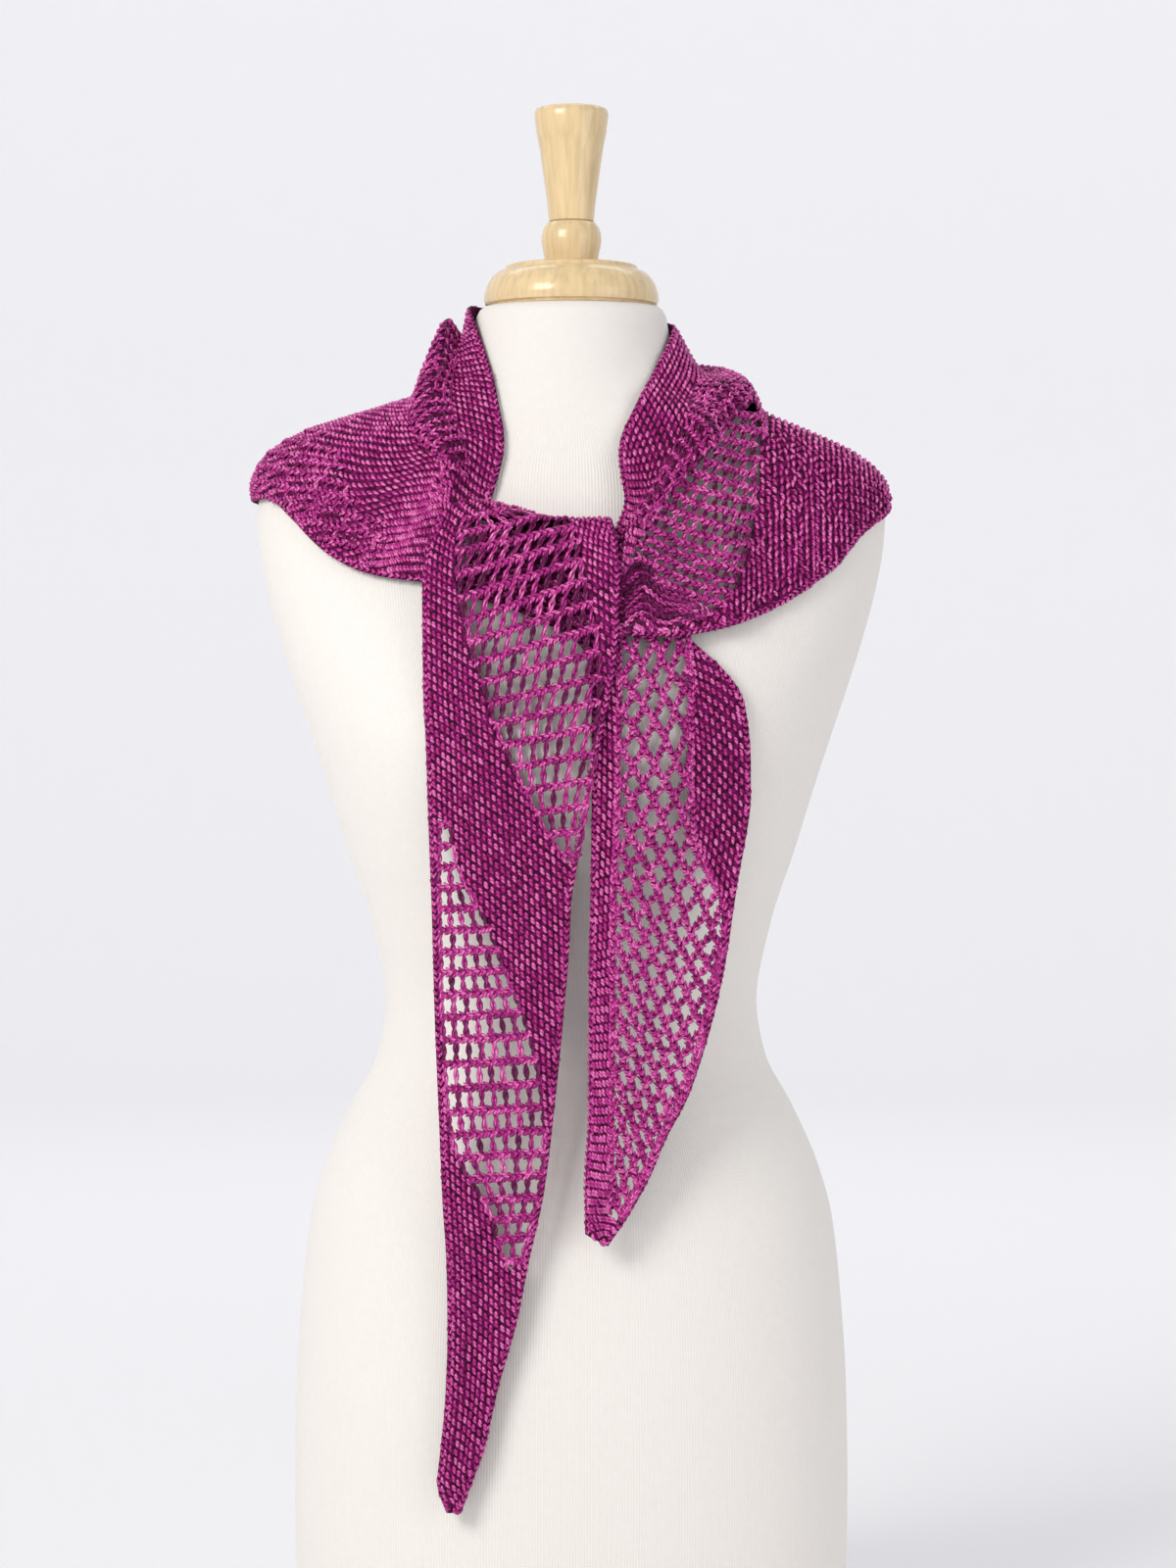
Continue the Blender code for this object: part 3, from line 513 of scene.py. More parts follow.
TAILS = {
    "tail_front": Tail(
        FRONT_TAIL_LEFT, FRONT_TAIL_RIGHT, 44, 11,
        ((90, 5), (520, 3.5), (575, 3.5), (620, 12), (660, 18), (760, 18.5)),
        ((0.30, 0.22, 2.4), (0.78, 0.18, 1.8)),
        ("tail_under", "shoulder_right", "back_panel", "shoulder_left"),
        ((-77.3, 717), (-45.8, 712.4), (-27.5, 707.7), (-10.3, 702.8), (29.5, 702.9)),
    ),
    "tail_under": Tail(
        UNDER_TAIL_LEFT, UNDER_TAIL_RIGHT, 30, 10,
        ((250, 4), (540, 2.6), (575, 1.75), (600, 2.4), (630, 6.5), (700, 6.5)),
        ((0.42, 0.26, 4.0), (0.93, 0.12, 2.6)),
    ),
}


def hanging_grid(tail):
    """Depths of a tail that lies over the form, on a grid twice as fine."""
    trees = node_trees(tail.lies_over)
    least = []
    for row in range(2 * tail.rows + 1):
        line = []
        for column in range(2 * tail.columns + 1):
            x, height = tail.flat_place(column / 2.0, row / 2.0)
            height = min(height, tail.spring(x))
            gap = read_table(tail.clearance, height)[0]
            gap += fold_wave(tail.folds, column / (2 * tail.columns))
            depth = hanging_depth(x, height) + gap
            under = depth_of_pieces(trees, x, height)
            if under is not None:
                depth = max(depth, under + LAYER - 0.5 * WALL)
            line.append(depth)
        least.append(line)
    return smooth_above(least)


def read_grid(grid, column, row):
    """Read a grid between its points."""
    at_row, at_column = min(int(row), len(grid) - 2), min(int(column), len(grid[0]) - 2)
    share, column_share = row - at_row, column - at_column
    upper, lower = [
        line[at_column] * (1.0 - column_share) + line[at_column + 1] * column_share
        for line in (grid[at_row], grid[at_row + 1])
    ]
    return upper * (1.0 - share) + lower * share


def in_zone(zone, x, height):
    """Whether a point lies inside a lace zone."""
    if not zone[0][0] < height < zone[-1][0]:
        return False
    low, high = read_table(zone, height)
    return low < x < high


# Knitting: the pitch of the gaps across the lace, how far the edge chains lie in
# and how wide a strip they keep clear, how finely a sheet is measured, and the
# start of the random draws
GAP_PITCH = 7.8
EDGE_CHAIN_INSET = 1.9
EDGE_CHAIN_WIDTH = 2.6
SAMPLES_PER_ROW = 5
SAMPLES_PER_COLUMN = 4
SEED = 7
# How far a chain's legs lean apart, in degrees, and how far each kind of lace is
# raised off the sheet
CHAIN_LEAN = 29.0
LIFTS = {"open": 0.0, "bare": 0.5, "laid": 1.1}
# Steep lace: how much more its rows fall at the left, and its least width
SKEW_BEND = 1.25
NARROWEST_LACE = 3.0
# Half widths of the ground, dark as painted shadow, behind a chain and behind a bar of open lace
GROUND_CHAIN = 1.4
GROUND_BAR = 0.55


def size(name):
    """One of the sizes that the panel holds, in millimetres."""
    return round(getattr(bpy.context.scene.scarf, name) / MM, 4)


def unit(vectors):
    """Vectors of length one."""
    return vectors / np.maximum(np.linalg.norm(vectors, axis=-1, keepdims=True), 1e-9)


def cubic_terms(at, count):
    """The four grid lines about a place, and how much each one counts."""
    base = np.clip(np.floor(at).astype(int), 0, count - 2)
    share = (at - base)[..., None]
    lines = np.clip(base[..., None] + np.arange(-1, 3), 0, count - 1)
    square = share * share
    cube = square * share
    weights = (
        -0.5 * cube + square - 0.5 * share,
        1.5 * cube - 2.5 * square + 1.0,
        -1.5 * cube + 2.0 * square + 0.5 * share,
        0.5 * cube - 0.5 * square,
    )
    return lines, np.concatenate(weights, axis=-1)


class Cloth:
    """
    A smooth sheet through a grid of points.

    Rows run across the scarf and are counted along it. Columns run along the
    scarf and are counted across it. facing is the side that looks outwards.
    """

    def __init__(self, grid, row_scale, column_scale, facing):
        self.grid = np.array(grid)
        self.row_scale = row_scale
        self.column_scale = column_scale
        self.facing = facing
        self.last_row = (len(self.grid) - 1) / row_scale
        self.last_column = (self.grid.shape[1] - 1) / column_scale
        row_count = int(self.last_row * SAMPLES_PER_ROW) + 1
        column_count = int(self.last_column * SAMPLES_PER_COLUMN) + 1
        self.rows = np.linspace(0.0, self.last_row, row_count)
        self.columns = np.linspace(0.0, self.last_column, column_count)
        samples = self.points(self.rows[:, None], self.columns[None, :])
        steps = np.linalg.norm(np.diff(samples, axis=1), axis=-1)
        self.reach = np.concatenate((np.zeros((row_count, 1)), np.cumsum(steps, axis=1)), 1)

    def points(self, rows, columns):
        """Points of the sheet at rows and columns, which may be fractions."""
        rows, columns = np.broadcast_arrays(
            np.asarray(rows, float) * self.row_scale,
            np.asarray(columns, float) * self.column_scale,
        )
        row_lines, row_weights = cubic_terms(rows, len(self.grid))
        column_lines, column_weights = cubic_terms(columns, self.grid.shape[1])
        cells = self.grid[row_lines[..., :, None], column_lines[..., None, :]]
        return np.einsum("...i,...j,...ijk->...k", row_weights, column_weights, cells)

    def outwards(self, rows, columns):
        """The direction out of the sheet's outer side."""
        step = 0.08
        along = self.points(np.minimum(rows + step, self.last_row), columns)
        along = along - self.points(np.maximum(rows - step, 0.0), columns)
        across = self.points(rows, np.minimum(columns + step, self.last_column))
        across = across - self.points(rows, np.maximum(columns - step, 0.0))
        return unit(np.cross(along, across)) * self.facing

    def reach_at(self, row):
        """How far each of the sampled columns lies from the first edge, at a row."""
        index = int(round(row / self.last_row * (len(self.rows) - 1)))
        return self.reach[min(max(index, 0), len(self.rows) - 1)]

    def column_at(self, row, distance):
        """The column at a distance from the sheet's first edge."""
        return float(np.interp(distance, self.reach_at(row), self.columns))

    def width_at(self, row, low, high):
        """The width of a zone between two borders at a row."""
        return self.distance_at(row, high(row)) - self.distance_at(row, low(row))

    def distance_at(self, row, column):
        """How far a column lies from the sheet's first edge."""
        return float(np.interp(column, self.columns, self.reach_at(row)))

    def line_at(self, distance, from_end=False):
        """A line along the scarf at a distance from an edge, and where it is on the sheet."""
        columns = np.empty(len(self.rows))
        for index, reach in enumerate(self.reach):
            place = reach[-1] - distance if from_end else distance
            columns[index] = np.interp(place, reach, self.columns)
        return self.rows, columns, (distance <= self.reach[:, -1]).astype(float)

    def row_after(self, row, column, distance):
        """The row a distance further along the scarf, measured at one column."""
        step = 0.05
        start = self.points(row, column)
        gone = 0.0
        while gone < distance and row < self.last_row:
            row = min(row + step, self.last_row)
            end = self.points(row, column)
            gone += float(np.linalg.norm(end - start))
            start = end
        return row


def run_of(points):
    """How far each point of a line lies along it."""
    steps = np.linalg.norm(np.diff(points, axis=0), axis=-1)
    return np.concatenate(((0.0,), np.cumsum(steps)))


def seats(cloth, rows, columns, run, stops, reach):
    """Where stitches sit at stops along a line: rows, points, and both directions."""
    ends = []
    for shift in (-reach, reach):
        at = np.clip(stops + shift, 0.0, run[-1])
        ends.append(cloth.points(np.interp(at, run, rows), np.interp(at, run, columns)))
    at_rows, at_columns = np.interp(stops, run, rows), np.interp(stops, run, columns)
    out = cloth.outwards(at_rows, at_columns)
    return at_rows, cloth.points(at_rows, at_columns), level(ends[1] - ends[0], out), out


def level(vectors, out):
    """Directions of vectors with what points outwards taken off."""
    return unit(vectors - out * np.sum(vectors * out, axis=-1, keepdims=True))


class Stitches:
    """Gathers the places of like stitches, to be made one mesh."""

    def __init__(self):
        self.parts = []

    def add(self, *arrays):
        """Add points, directions along and out, length, girth, tone and rows."""
        self.parts.append(arrays)

    def gathered(self, first_row, last_row):
        """All places between two rows, or nothing."""
        if not self.parts:
            return None
        arrays = [np.concatenate(items) for items in zip(*self.parts)]
        keep = (arrays[6] >= first_row) & (arrays[6] < last_row)
        return [array[keep] for array in arrays]


def tube(centres, radii):
    """A closed tube of five sides along a line: points, faces, and the yarn's map."""
    sides = 5
    rings = len(centres)
    last = (rings - 1) * sides
    points = []
    for centre, radius in zip(centres, radii):
        for side in range(sides):
            turn = 2.0 * math.pi * (side + 0.25) / sides
            shift = (0.0, radius * math.cos(turn), radius * math.sin(turn))
            points.append([a + b for a, b in zip(centre, shift)])
    for centre, tip in ((centres[0], -0.6 * radii[0]), (centres[-1], 0.6 * radii[-1])):
        points.append([centre[0] + tip, centre[1], centre[2]])
    faces = []
    maps = []
    # The map's second coordinate goes round the tube; its sine is largest on the side that faces
    # out, where the yarn finish paints its highlight.
    turns = [(side, (side + 1) % sides, (side + 0.25) / sides) for side in range(sides)]
    for ring in range(rings - 1):
        low, high = ring / (rings - 1), (ring + 1) / (rings - 1)
        for side, after, left in turns:
            right = left + 1.0 / sides
            first, second = ring * sides, (ring + 1) * sides
            faces.append((first + side, second + side, second + after, first + after))
            maps.append(((low, left), (high, left), (high, right), (low, right)))
    for side, after, left in turns:
        right = left + 1.0 / sides
        faces.append((side, after, rings * sides))
        maps.append(((0.0, left), (0.0, right), (0.0, left)))
        faces.append((last + after, last + side, rings * sides + 1))
        maps.append(((1.0, right), (1.0, left), (1.0, left)))
    return np.array(points), faces, maps


def bump_shape():
    """One garter bump, 5 mm long."""
    places = (-0.5, -0.32, 0.0, 0.32, 0.5)
    radii = (0.4, 0.95, 1.12, 0.95, 0.35)
    centres = [(5.0 * t, 0.0, 0.85 - 4.6 * t * t) for t in places]
    return tube(centres, radii)


def leg_shape():
    """One leg of a chain stitch, 5.6 mm long."""
    places = (-0.5, -0.28, 0.02, 0.3, 0.5)
    radii = (0.35, 0.88, 1.12, 0.9, 0.35)
    centres = [(5.6 * t, 0.0, 0.7 - 4.4 * t * t + 0.6 * t) for t in places]
    return tube(centres, radii)


def ply_shape(half_turn):
    """One of the two plies of a twisted bar, 10 mm long."""
    centres = []
    radii = []
    for step in range(7):
        share = step / 6.0
        turn = 2.0 * math.pi * (0.95 * share + half_turn)
        spread = 0.85 * (0.6 + 0.4 * math.sin(math.pi * share))
        centres.append((10.0 * (share - 0.5), spread * math.cos(turn), spread * math.sin(turn)))
        radii.append(0.9 if 0 < step < 6 else 0.7)
    return tube(centres, radii)


def link(piece, finish_name):
    """Give a piece its finish, and tell which body it belongs to."""
    if piece.name not in bpy.context.scene.objects:
        bpy.context.scene.collection.objects.link(piece)
    piece.data.materials.clear()
    piece.data.materials.append(finish(finish_name))
    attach(piece, "root")


def stamp(name, batches):
    """Make one mesh of many copies of small shapes, with a tone for each copy."""
    gathered = []
    offset = 0
    for (shape_points, faces, maps), places in batches:
        if places is None or len(places[0]) == 0:
            continue
        origin, along, out, length, girth, tone, _ = places
        count = len(origin)
        across = np.cross(out, along)
        local = shape_points[None, :, :]
        points = (
            origin[:, None, :]
            + along[:, None, :] * (local[..., 0:1] * length[:, None, None])
            + across[:, None, :] * (local[..., 1:2] * girth[:, None, None])
            + out[:, None, :] * (local[..., 2:3] * girth[:, None, None])
        )
        loops = np.array([corner for face in faces for corner in face])
        shift = offset + np.arange(count)[:, None] * len(shape_points)
        flat_map = np.array([corner for face in maps for corner in face])
        gathered.append((
            points.reshape(-1, 3),
            (loops[None, :] + shift).reshape(-1),
            np.tile([len(face) for face in faces], count),
            np.tile(flat_map, (count, 1)),
            np.repeat(tone, len(shape_points)),
        ))
        offset += count * len(shape_points)
    points, loops, sizes, maps, tones = [np.concatenate(items) for items in zip(*gathered)]
    starts = np.concatenate(((0,), np.cumsum(sizes)[:-1]))
    mesh = bpy.data.meshes.new(name)
    mesh.vertices.add(len(points))
    mesh.vertices.foreach_set("co", (points * MM).astype(np.float32).ravel())
    mesh.loops.add(len(loops))
    mesh.loops.foreach_set("vertex_index", loops.astype(np.int32))
    mesh.polygons.add(len(sizes))
    mesh.polygons.foreach_set("loop_start", starts.astype(np.int32))
    mesh.update(calc_edges=True)
    mesh.polygons.foreach_set("use_smooth", np.ones(len(sizes), bool))
    layer = mesh.uv_layers.new(name="yarn")
    layer.data.foreach_set("uv", maps.astype(np.float32).ravel())
    layer = mesh.attributes.new("tone", "FLOAT", "POINT")
    layer.data.foreach_set("value", tones.astype(np.float32))
    mesh.update()
    piece = bpy.data.objects.new(name, mesh)
    link(piece, "yarn")
    return piece


def brick_stops(run, guide, previous, pitch):
    """
    Where the bumps of a column lie along it: between those of the last one.

    guide is a measure that neighbouring columns share, and previous holds the
    last column's bumps in it. A bump is left out or added where they crowd or
    spread.
    """
    if previous is None or len(previous) < 2:
        return np.arange(0.5 * pitch, run[-1], pitch)
    between = (previous[:-1] + previous[1:]) / 2.0
    between = between[(between > guide[0]) & (between < guide[-1])]
    if len(between) == 0:
        return np.arange(0.5 * pitch, run[-1], pitch)
    wanted = np.interp(between, guide, run)
    if len(wanted) > 3 and not 0.8 < np.median(np.diff(wanted)) / pitch < 1.24:
        middle = wanted[len(wanted) // 2]
        return np.arange(middle % pitch, run[-1], pitch)
    stops = [wanted[0]]
    while stops[0] > 1.2 * pitch:
        stops.insert(0, stops[0] - pitch)
    for place in wanted[1:]:
        gap = place - stops[-1]
        if gap > 1.4 * pitch:
            count = int(math.ceil(gap / pitch - 0.3))
            stops += [stops[-1] + gap * step / count for step in range(1, count)]
        if place - stops[-1] >= 0.68 * pitch:
            stops.append(place)
    while run[-1] - stops[-1] > pitch:
        stops.append(stops[-1] + pitch)
    return np.array(stops)


def knit_line(cloth, stitches, rng, line, previous, slant, keep):
    """
    Lay one column of garter bumps along a line, and tell where they lie.

    line holds the measure that columns share, rows, columns, and which of the
    places are on the sheet. keep tests the places.
    """
    guide, rows, columns, inside = line
    run = run_of(cloth.points(rows, columns))
    pitch = size("garter_pitch")
    if run[-1] < pitch:
        return previous
    stops = brick_stops(run, guide, previous, pitch)
    laid = np.interp(stops, run, guide)
    wanted = np.interp(stops, run, inside) > 0.999
    wanted &= keep(np.interp(stops, run, rows), np.interp(stops, run, columns))
    count = int(wanted.sum())
    if count == 0:
        return laid
    stops = stops[wanted] + rng.uniform(-0.3, 0.3, count)
    at_rows, points, along, out = seats(cloth, rows, columns, run, stops, 1.0)
    across = np.cross(out, along)
    turn = np.radians(slant + rng.normal(0.0, 5.0, count))[:, None]
    shift = rng.uniform(-0.2, 0.2, count)[:, None]
    stitches.add(
        points + out * 0.1 + across * shift,
        along * np.cos(turn) + across * np.sin(turn),
        out,
        rng.uniform(0.95, 1.1, count),
        rng.uniform(1.0, 1.26, count),
        rng.uniform(0.0, 1.0, count),
        at_rows,
    )
    return laid


def knit_garter(cloth, stitches, rng, keep, slant):
    """Lay columns of garter bumps at distances from one edge of a sheet."""
    widest = float(cloth.reach[:, -1].max())
    laid = None
    for distance in np.arange(2.0 * EDGE_CHAIN_INSET + 0.4, widest, size("column_pitch")):
        rows, columns, inside = cloth.line_at(distance)
        line = (rows, rows, columns, inside)
        laid = knit_line(cloth, stitches, rng, line, laid, slant * cloth.facing, keep)


def knit_chain(cloth, stitches, rng, rows, columns, girth=1.0, lift=0.0):
    """Lay a chain of V stitches along a line on a sheet."""
    pitch = size("chain_pitch")
    run = run_of(cloth.points(rows, columns))
    stops = np.arange(0.5 * pitch, run[-1], pitch)
    count = len(stops)
    if count == 0:
        return
    at_rows, points, along, out = seats(cloth, rows, columns, run, stops, 0.8)
    across = np.cross(out, along)
    points = points + across * rng.uniform(-0.35, 0.35, count)[:, None]
    for side in (-1.0, 1.0):
        turn = np.radians(CHAIN_LEAN + rng.normal(0.0, 4.0, count))[:, None] * side
        stitches.add(
            points + across * (0.95 * side * girth) + out * (0.25 + lift),
            along * np.cos(turn) - across * np.sin(turn),
            out,
            rng.uniform(0.95, 1.08, count) * girth,
            rng.uniform(0.92, 1.08, count) * girth,
            rng.uniform(-0.35, 0.85, count),
            at_rows,
        )


def knit_bars(cloth, stitches, rng, ends, girth, lift):
    """Lay twisted bars between pairs of places."""
    starts, stops = np.array(ends).transpose(1, 0, 2)
    first, last = [cloth.points(at[:, 0], at[:, 1]) for at in (starts, stops)]
    middle = (starts + stops) / 2.0
    out = cloth.outwards(middle[:, 0], middle[:, 1])
    along = unit(last - first)
    out = level(out, along)
    turn = rng.uniform(0.0, math.pi, len(first))[:, None]
    stitches.add(
        (first + last) / 2.0 + out * lift,
        along,
        out * np.cos(turn) + np.cross(out, along) * np.sin(turn),
        np.linalg.norm(last - first, axis=-1) / 10.0,
        girth * rng.uniform(0.92, 1.1, len(first)),
        rng.uniform(0.0, 1.0, len(first)),
        middle[:, 0],
    )


@dataclass
class Lace:
    """
    A zone of lace on a sheet, between two borders that run along it.

    chains are lines of rows and columns, and bars join pairs of places. Open
    lace is cut out of the ground, bare lace lies straight on it, and laid lace
    lies over garter bumps.
    """

    low: object
    high: object
    first: float
    last: float
    chains: list
    bars: list
    kind: str = "open"
    girth: float = 1.0

    def covers(self, rows, columns, margin):
        """Which places lie in the zone, or this near it."""
        inside = np.zeros(len(rows), bool)
        for index, (row, column) in enumerate(zip(rows, columns)):
            if self.first <= row <= self.last:
                low = self.low(row)
                high = self.high(row)
                inside[index] = high > low and low - margin < column < high + margin
        return inside


def even_lace(cloth, low, high, rows, leans, kind="open", girth=1.0):
    """
    Lace whose chain rows cross the scarf, with bars at an even pitch.

    leans are the slopes of the bars at the first row and at the last.
    """
    chains = []
    for row in rows:
        if high(row) - low(row) > 0.1:
            chains.append((np.full(24, float(row)), np.linspace(low(row), high(row), 24)))
    bars = []
    for row, after in zip(rows, rows[1:]):
        middle = (row + after) / 2.0
        width = cloth.width_at(middle, low, high)
        count = int(round(width / GAP_PITCH)) if width > 0.45 * GAP_PITCH else 0
        lean = leans[0] + (leans[1] - leans[0]) * (row - rows[0]) / (rows[-1] - rows[0])
        for index in range(count + 1):
            share = index / max(count, 1)
            slope = lean / max(count, 1)
            top = min(max(share + slope, 0.0), 1.0)
            foot = min(max(share - slope, 0.0), 1.0)
            bars.append((
                (row, low(row) + top * (high(row) - low(row))),
                (after, low(after) + foot * (high(after) - low(after))),
            ))
    return Lace(low, high, rows[0], rows[-1], chains, bars, kind, girth)


class Finder:
    """Finds where a ray meets a sheet, as a row and a column."""

    def __init__(self, cloth):
        self.rows, self.columns = cloth.rows, cloth.columns
        self.points = cloth.points(self.rows[:, None], self.columns[None, :])
        width = len(self.columns)
        faces = []
        for row in range(len(self.rows) - 1):
            for column in range(width - 1):
                first = row * width + column
                faces.append((first, first + 1, first + width + 1))
                faces.append((first, first + width + 1, first + width))
        self.tree = BVHTree.FromPolygons(self.points.reshape(-1, 3).tolist(), faces)

    def find(self, origin, direction):
        """The row and column that a ray meets first, or None."""
        hit, _, face, _ = self.tree.ray_cast(Vector(origin), Vector(direction))
        if hit is None:
            return None
        row, column = divmod(face // 2, len(self.columns) - 1)
        corner = self.points[row, column]
        shares = []
        for other in (self.points[row + 1, column], self.points[row, column + 1]):
            side = other - corner
            share = float(np.dot(np.array(hit) - corner, side) / max(np.dot(side, side), 1e-9))
            shares.append(min(max(share, 0.0), 1.0))
        return (
            self.rows[row] + shares[0] * (self.rows[row + 1] - self.rows[row]),
            self.columns[column] + shares[1] * (self.columns[column + 1] - self.columns[column]),
        )

    def line(self, rays, wanted):
        """The rows and columns that a fan of rays meets, where they are wanted."""
        found = []
        for index, (origin, direction) in enumerate(rays):
            place = self.find(origin, direction)
            if place is not None and wanted(*place):
                found.append((index, *place))
        if len(found) < 4:
            return None
        return np.array(found).T


def ribbon(shape, cloth, rows, columns, half_width):
    """Add a narrow strip of ground along a line on a sheet."""
    points = cloth.points(rows, columns)
    across = np.cross(cloth.outwards(rows, columns), np.gradient(points, axis=0))
    across = unit(across) * half_width
    left = [shape.verts.new(point) for point in points + across]
    right = [shape.verts.new(point) for point in points - across]
    for index in range(len(left) - 1):
        shape.faces.new((left[index], left[index + 1], right[index + 1], right[index]))


def make_ground(name, cloth, first_row, last_row, laces):
    """
    Make the thin ground of a stretch.

    It is whole outside the open lace, and a net of narrow strips within it. Its
    dark finish is painted shade between and behind the stitches.
    """
    shape = bmesh.new()
    count = max(int((last_row - first_row) * 3), 2)
    rows = np.linspace(first_row, last_row, count + 1)
    borders = [np.zeros(len(rows))]
    laces = [lace for lace in laces if lace.kind == "open"]
    for lace in laces:
        low = np.array([lace.low(row) for row in rows])
        high = np.array([lace.high(row) for row in rows])
        high = np.where((rows >= lace.first) & (rows <= lace.last), high, low)
        low = np.maximum(low, borders[-1])
        borders += [low, np.maximum(high, low)]
    borders.append(np.full(len(rows), cloth.last_column))
    for left, right in zip(borders[::2], borders[1::2]):
        right = np.maximum(left, right)
        steps = max(int(np.max(right - left) * 2.0), 1)
        shares = np.linspace(0.0, 1.0, steps + 1)
        columns = left[:, None] + (right - left)[:, None] * shares[None, :]
        points = cloth.points(rows[:, None], columns)
        grid = [[shape.verts.new(point) for point in line] for line in points]
        for upper, lower in zip(grid, grid[1:]):
            for (a, b), (c, d) in zip(zip(upper, upper[1:]), zip(lower, lower[1:])):
                shape.faces.new((a, c, d, b))
    bmesh.ops.remove_doubles(shape, verts=shape.verts, dist=0.02)
    bmesh.ops.dissolve_degenerate(shape, edges=shape.edges, dist=0.02)
    for lace in laces:
        for line_rows, line_columns in lace.chains:
            if first_row <= np.mean(line_rows) <= last_row:
                ribbon(shape, cloth, line_rows, line_columns, GROUND_CHAIN)
        for start, end in lace.bars:
            if first_row <= start[0] <= last_row:
                ribbon(shape, cloth, *np.linspace(start, end, 3).T, GROUND_BAR)
    bmesh.ops.scale(shape, vec=(MM, MM, MM), verts=shape.verts)
    mesh = bpy.data.meshes.new(name)
    shape.to_mesh(mesh)
    shape.free()
    piece = bpy.data.objects.new(name, mesh)
    # The ground's dark finish is painted shade behind the stitches.
    link(piece, "ground")
    wall = piece.modifiers.new("wall", "SOLIDIFY")
    wall.thickness = size("ground") * MM
    wall.offset = 0.0
    select_only(piece)
    bpy.ops.object.modifier_apply(modifier="wall")
    bpy.ops.object.shade_smooth()
    return piece


def close_edit(inside=False):
    """Turn all the faces one way, leave edit mode and shade the piece smooth."""
    bpy.ops.mesh.select_all(action="SELECT")
    bpy.ops.mesh.normals_make_consistent(inside=inside)
    bpy.ops.object.mode_set(mode="OBJECT")
    bpy.ops.object.shade_smooth_by_angle(angle=math.radians(50.0))


def draw_up(steps, centre):
    """Draw the selected ring up through radii and heights in metres."""
    for (old_radius, old_height), (new_radius, new_height) in zip(steps, steps[1:]):
        bpy.ops.mesh.extrude_region_move(
            TRANSFORM_OT_translate={"value": (0.0, 0.0, new_height - old_height)}
        )
        ratio = new_radius / old_radius
        bpy.ops.transform.resize(value=(ratio, ratio, 1.0), center_override=centre)


def add_ring(name, radius, place):
    """Add a disc of 96 sides, ready to be drawn up."""
    bpy.ops.object.select_all(action="DESELECT")
    bpy.ops.mesh.primitive_circle_add(vertices=96, radius=radius, fill_type="NGON", location=place)
    piece = bpy.context.active_object
    piece.name = name
    piece.data.name = name
    bpy.ops.object.transform_apply(location=True, rotation=True, scale=True)
    bpy.ops.object.mode_set(mode="EDIT")
    bpy.ops.mesh.select_all(action="SELECT")
    return piece


def select_only(piece):
    """Select one piece and make it active."""
    bpy.ops.object.select_all(action="DESELECT")
    piece.select_set(True)
    bpy.context.view_layer.objects.active = piece


def node_trees(names):
    """Search trees of the solids that a stretch lies on."""
    trees = []
    for name in names:
        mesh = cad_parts[name].data
        corners = [vertex.co for vertex in mesh.vertices]
        faces = [face.vertices for face in mesh.polygons]
        trees.append(BVHTree.FromPolygons(corners, faces))
    return trees


def worn_cloth():
    """The sheet of the worn part, and the row at which each stretch begins."""
    grid = []
    breaks = [0]
    trees = node_trees(("tail_under",))
    for name, spans in WORN_STRETCHES:
        stations = spread_stations(spans)
        rows = [worn_section(station) for station in stations]
        clear_chords(rows)
        draped = sum(station < DRAPED_UNTIL_STATION for station in stations)
        if draped > 0:
            drape_rows(rows[:draped], trees)
        grid += rows if not grid else rows[1:]
        breaks.append(len(grid) - 1)
    return Cloth(grid, 1.0, 1.0, -1.0), breaks


def tail_cloth(name):
    """The sheet of one tail."""
    tail = TAILS[name]
    depths = hanging_grid(tail)
    half_turn = math.pi * FOLD_RADIUS

    def place(column, row):
        x, height = tail.flat_place(column, row)
        front = read_grid(depths, 2.0 * column, 2.0 * row)
        spring = tail.spring(x)
        over = height - spring
        if over <= 0.0:
            return Vector((x, -front, height))
        if over < half_turn:
            angle = over / FOLD_RADIUS
            back = front_depth(x, spring) + RETURN_CLEARANCE
            depth = front + 0.5 * (1.0 - math.cos(angle)) * (back - front)
            return Vector((x, -depth, spring + FOLD_RADIUS * math.sin(angle)))
        behind = spring - (over - half_turn)
        return Vector((x, -(front_depth(x, behind) + RETURN_CLEARANCE), behind))

    grid = [
        [place(column / 2.0, row / 3.0) for column in range(2 * tail.columns + 1)]
        for row in range(3 * tail.rows + 1)
    ]
    return Cloth(grid, 3.0, 2.0, 1.0)


def skewed_lace(cloth, low, high, rows, skew, pitches, lean, girth):
    """
    Lace whose chain rows fall steeply from the left and flatten to the right.

    skew is how many rows a chain falls by. pitches are the rows between two
    chains at the left and at the right, and then the distance between bars.
    """
    across = np.array([cloth.width_at(row, low, high) for row in rows])
    widest = float(across.max())
    left, right, spacing = pitches

    def place(chain, distance, beyond=0.0):
        share = min(max(distance / widest, 0.0), 1.0)
        fall = skew * (1.0 - (1.0 - share) ** SKEW_BEND)
        row = chain * (left + (right - left) * share) + fall
        if not rows[0] <= row <= rows[-1]:
            return None
        width = float(np.interp(row, rows, across))
        if width < NARROWEST_LACE or not 0.0 <= distance <= width + beyond:
            return None
        return row, low(row) + (high(row) - low(row)) * min(distance / width, 1.0)

    chains = []
    for chain in range(-int((skew - rows[0]) / right) - 1, int(rows[-1] / left) + 1):
        line = [place(chain, distance) for distance in np.arange(0.0, widest, 1.5)]
        line = [found for found in line if found]
        if len(line) > 3:
            table = np.array(line)
            chains.append((table[:, 0], table[:, 1]))
        for index in range(int(widest / spacing) + 2):
            start = place(chain, (index + lean) * spacing, spacing)
            end = place(chain + 1, (index - lean) * spacing, spacing)
            if start and end:
                chains.append(tuple(np.linspace(start, end, 5).T))
    down = np.linspace(rows[0], rows[-1], 120)
    chains.append((down, np.array([low(row) for row in down])))
    chains.append((down, np.array([high(row) for row in down])))
    return Lace(low, high, rows[0], rows[-1], chains, [], "open", girth)


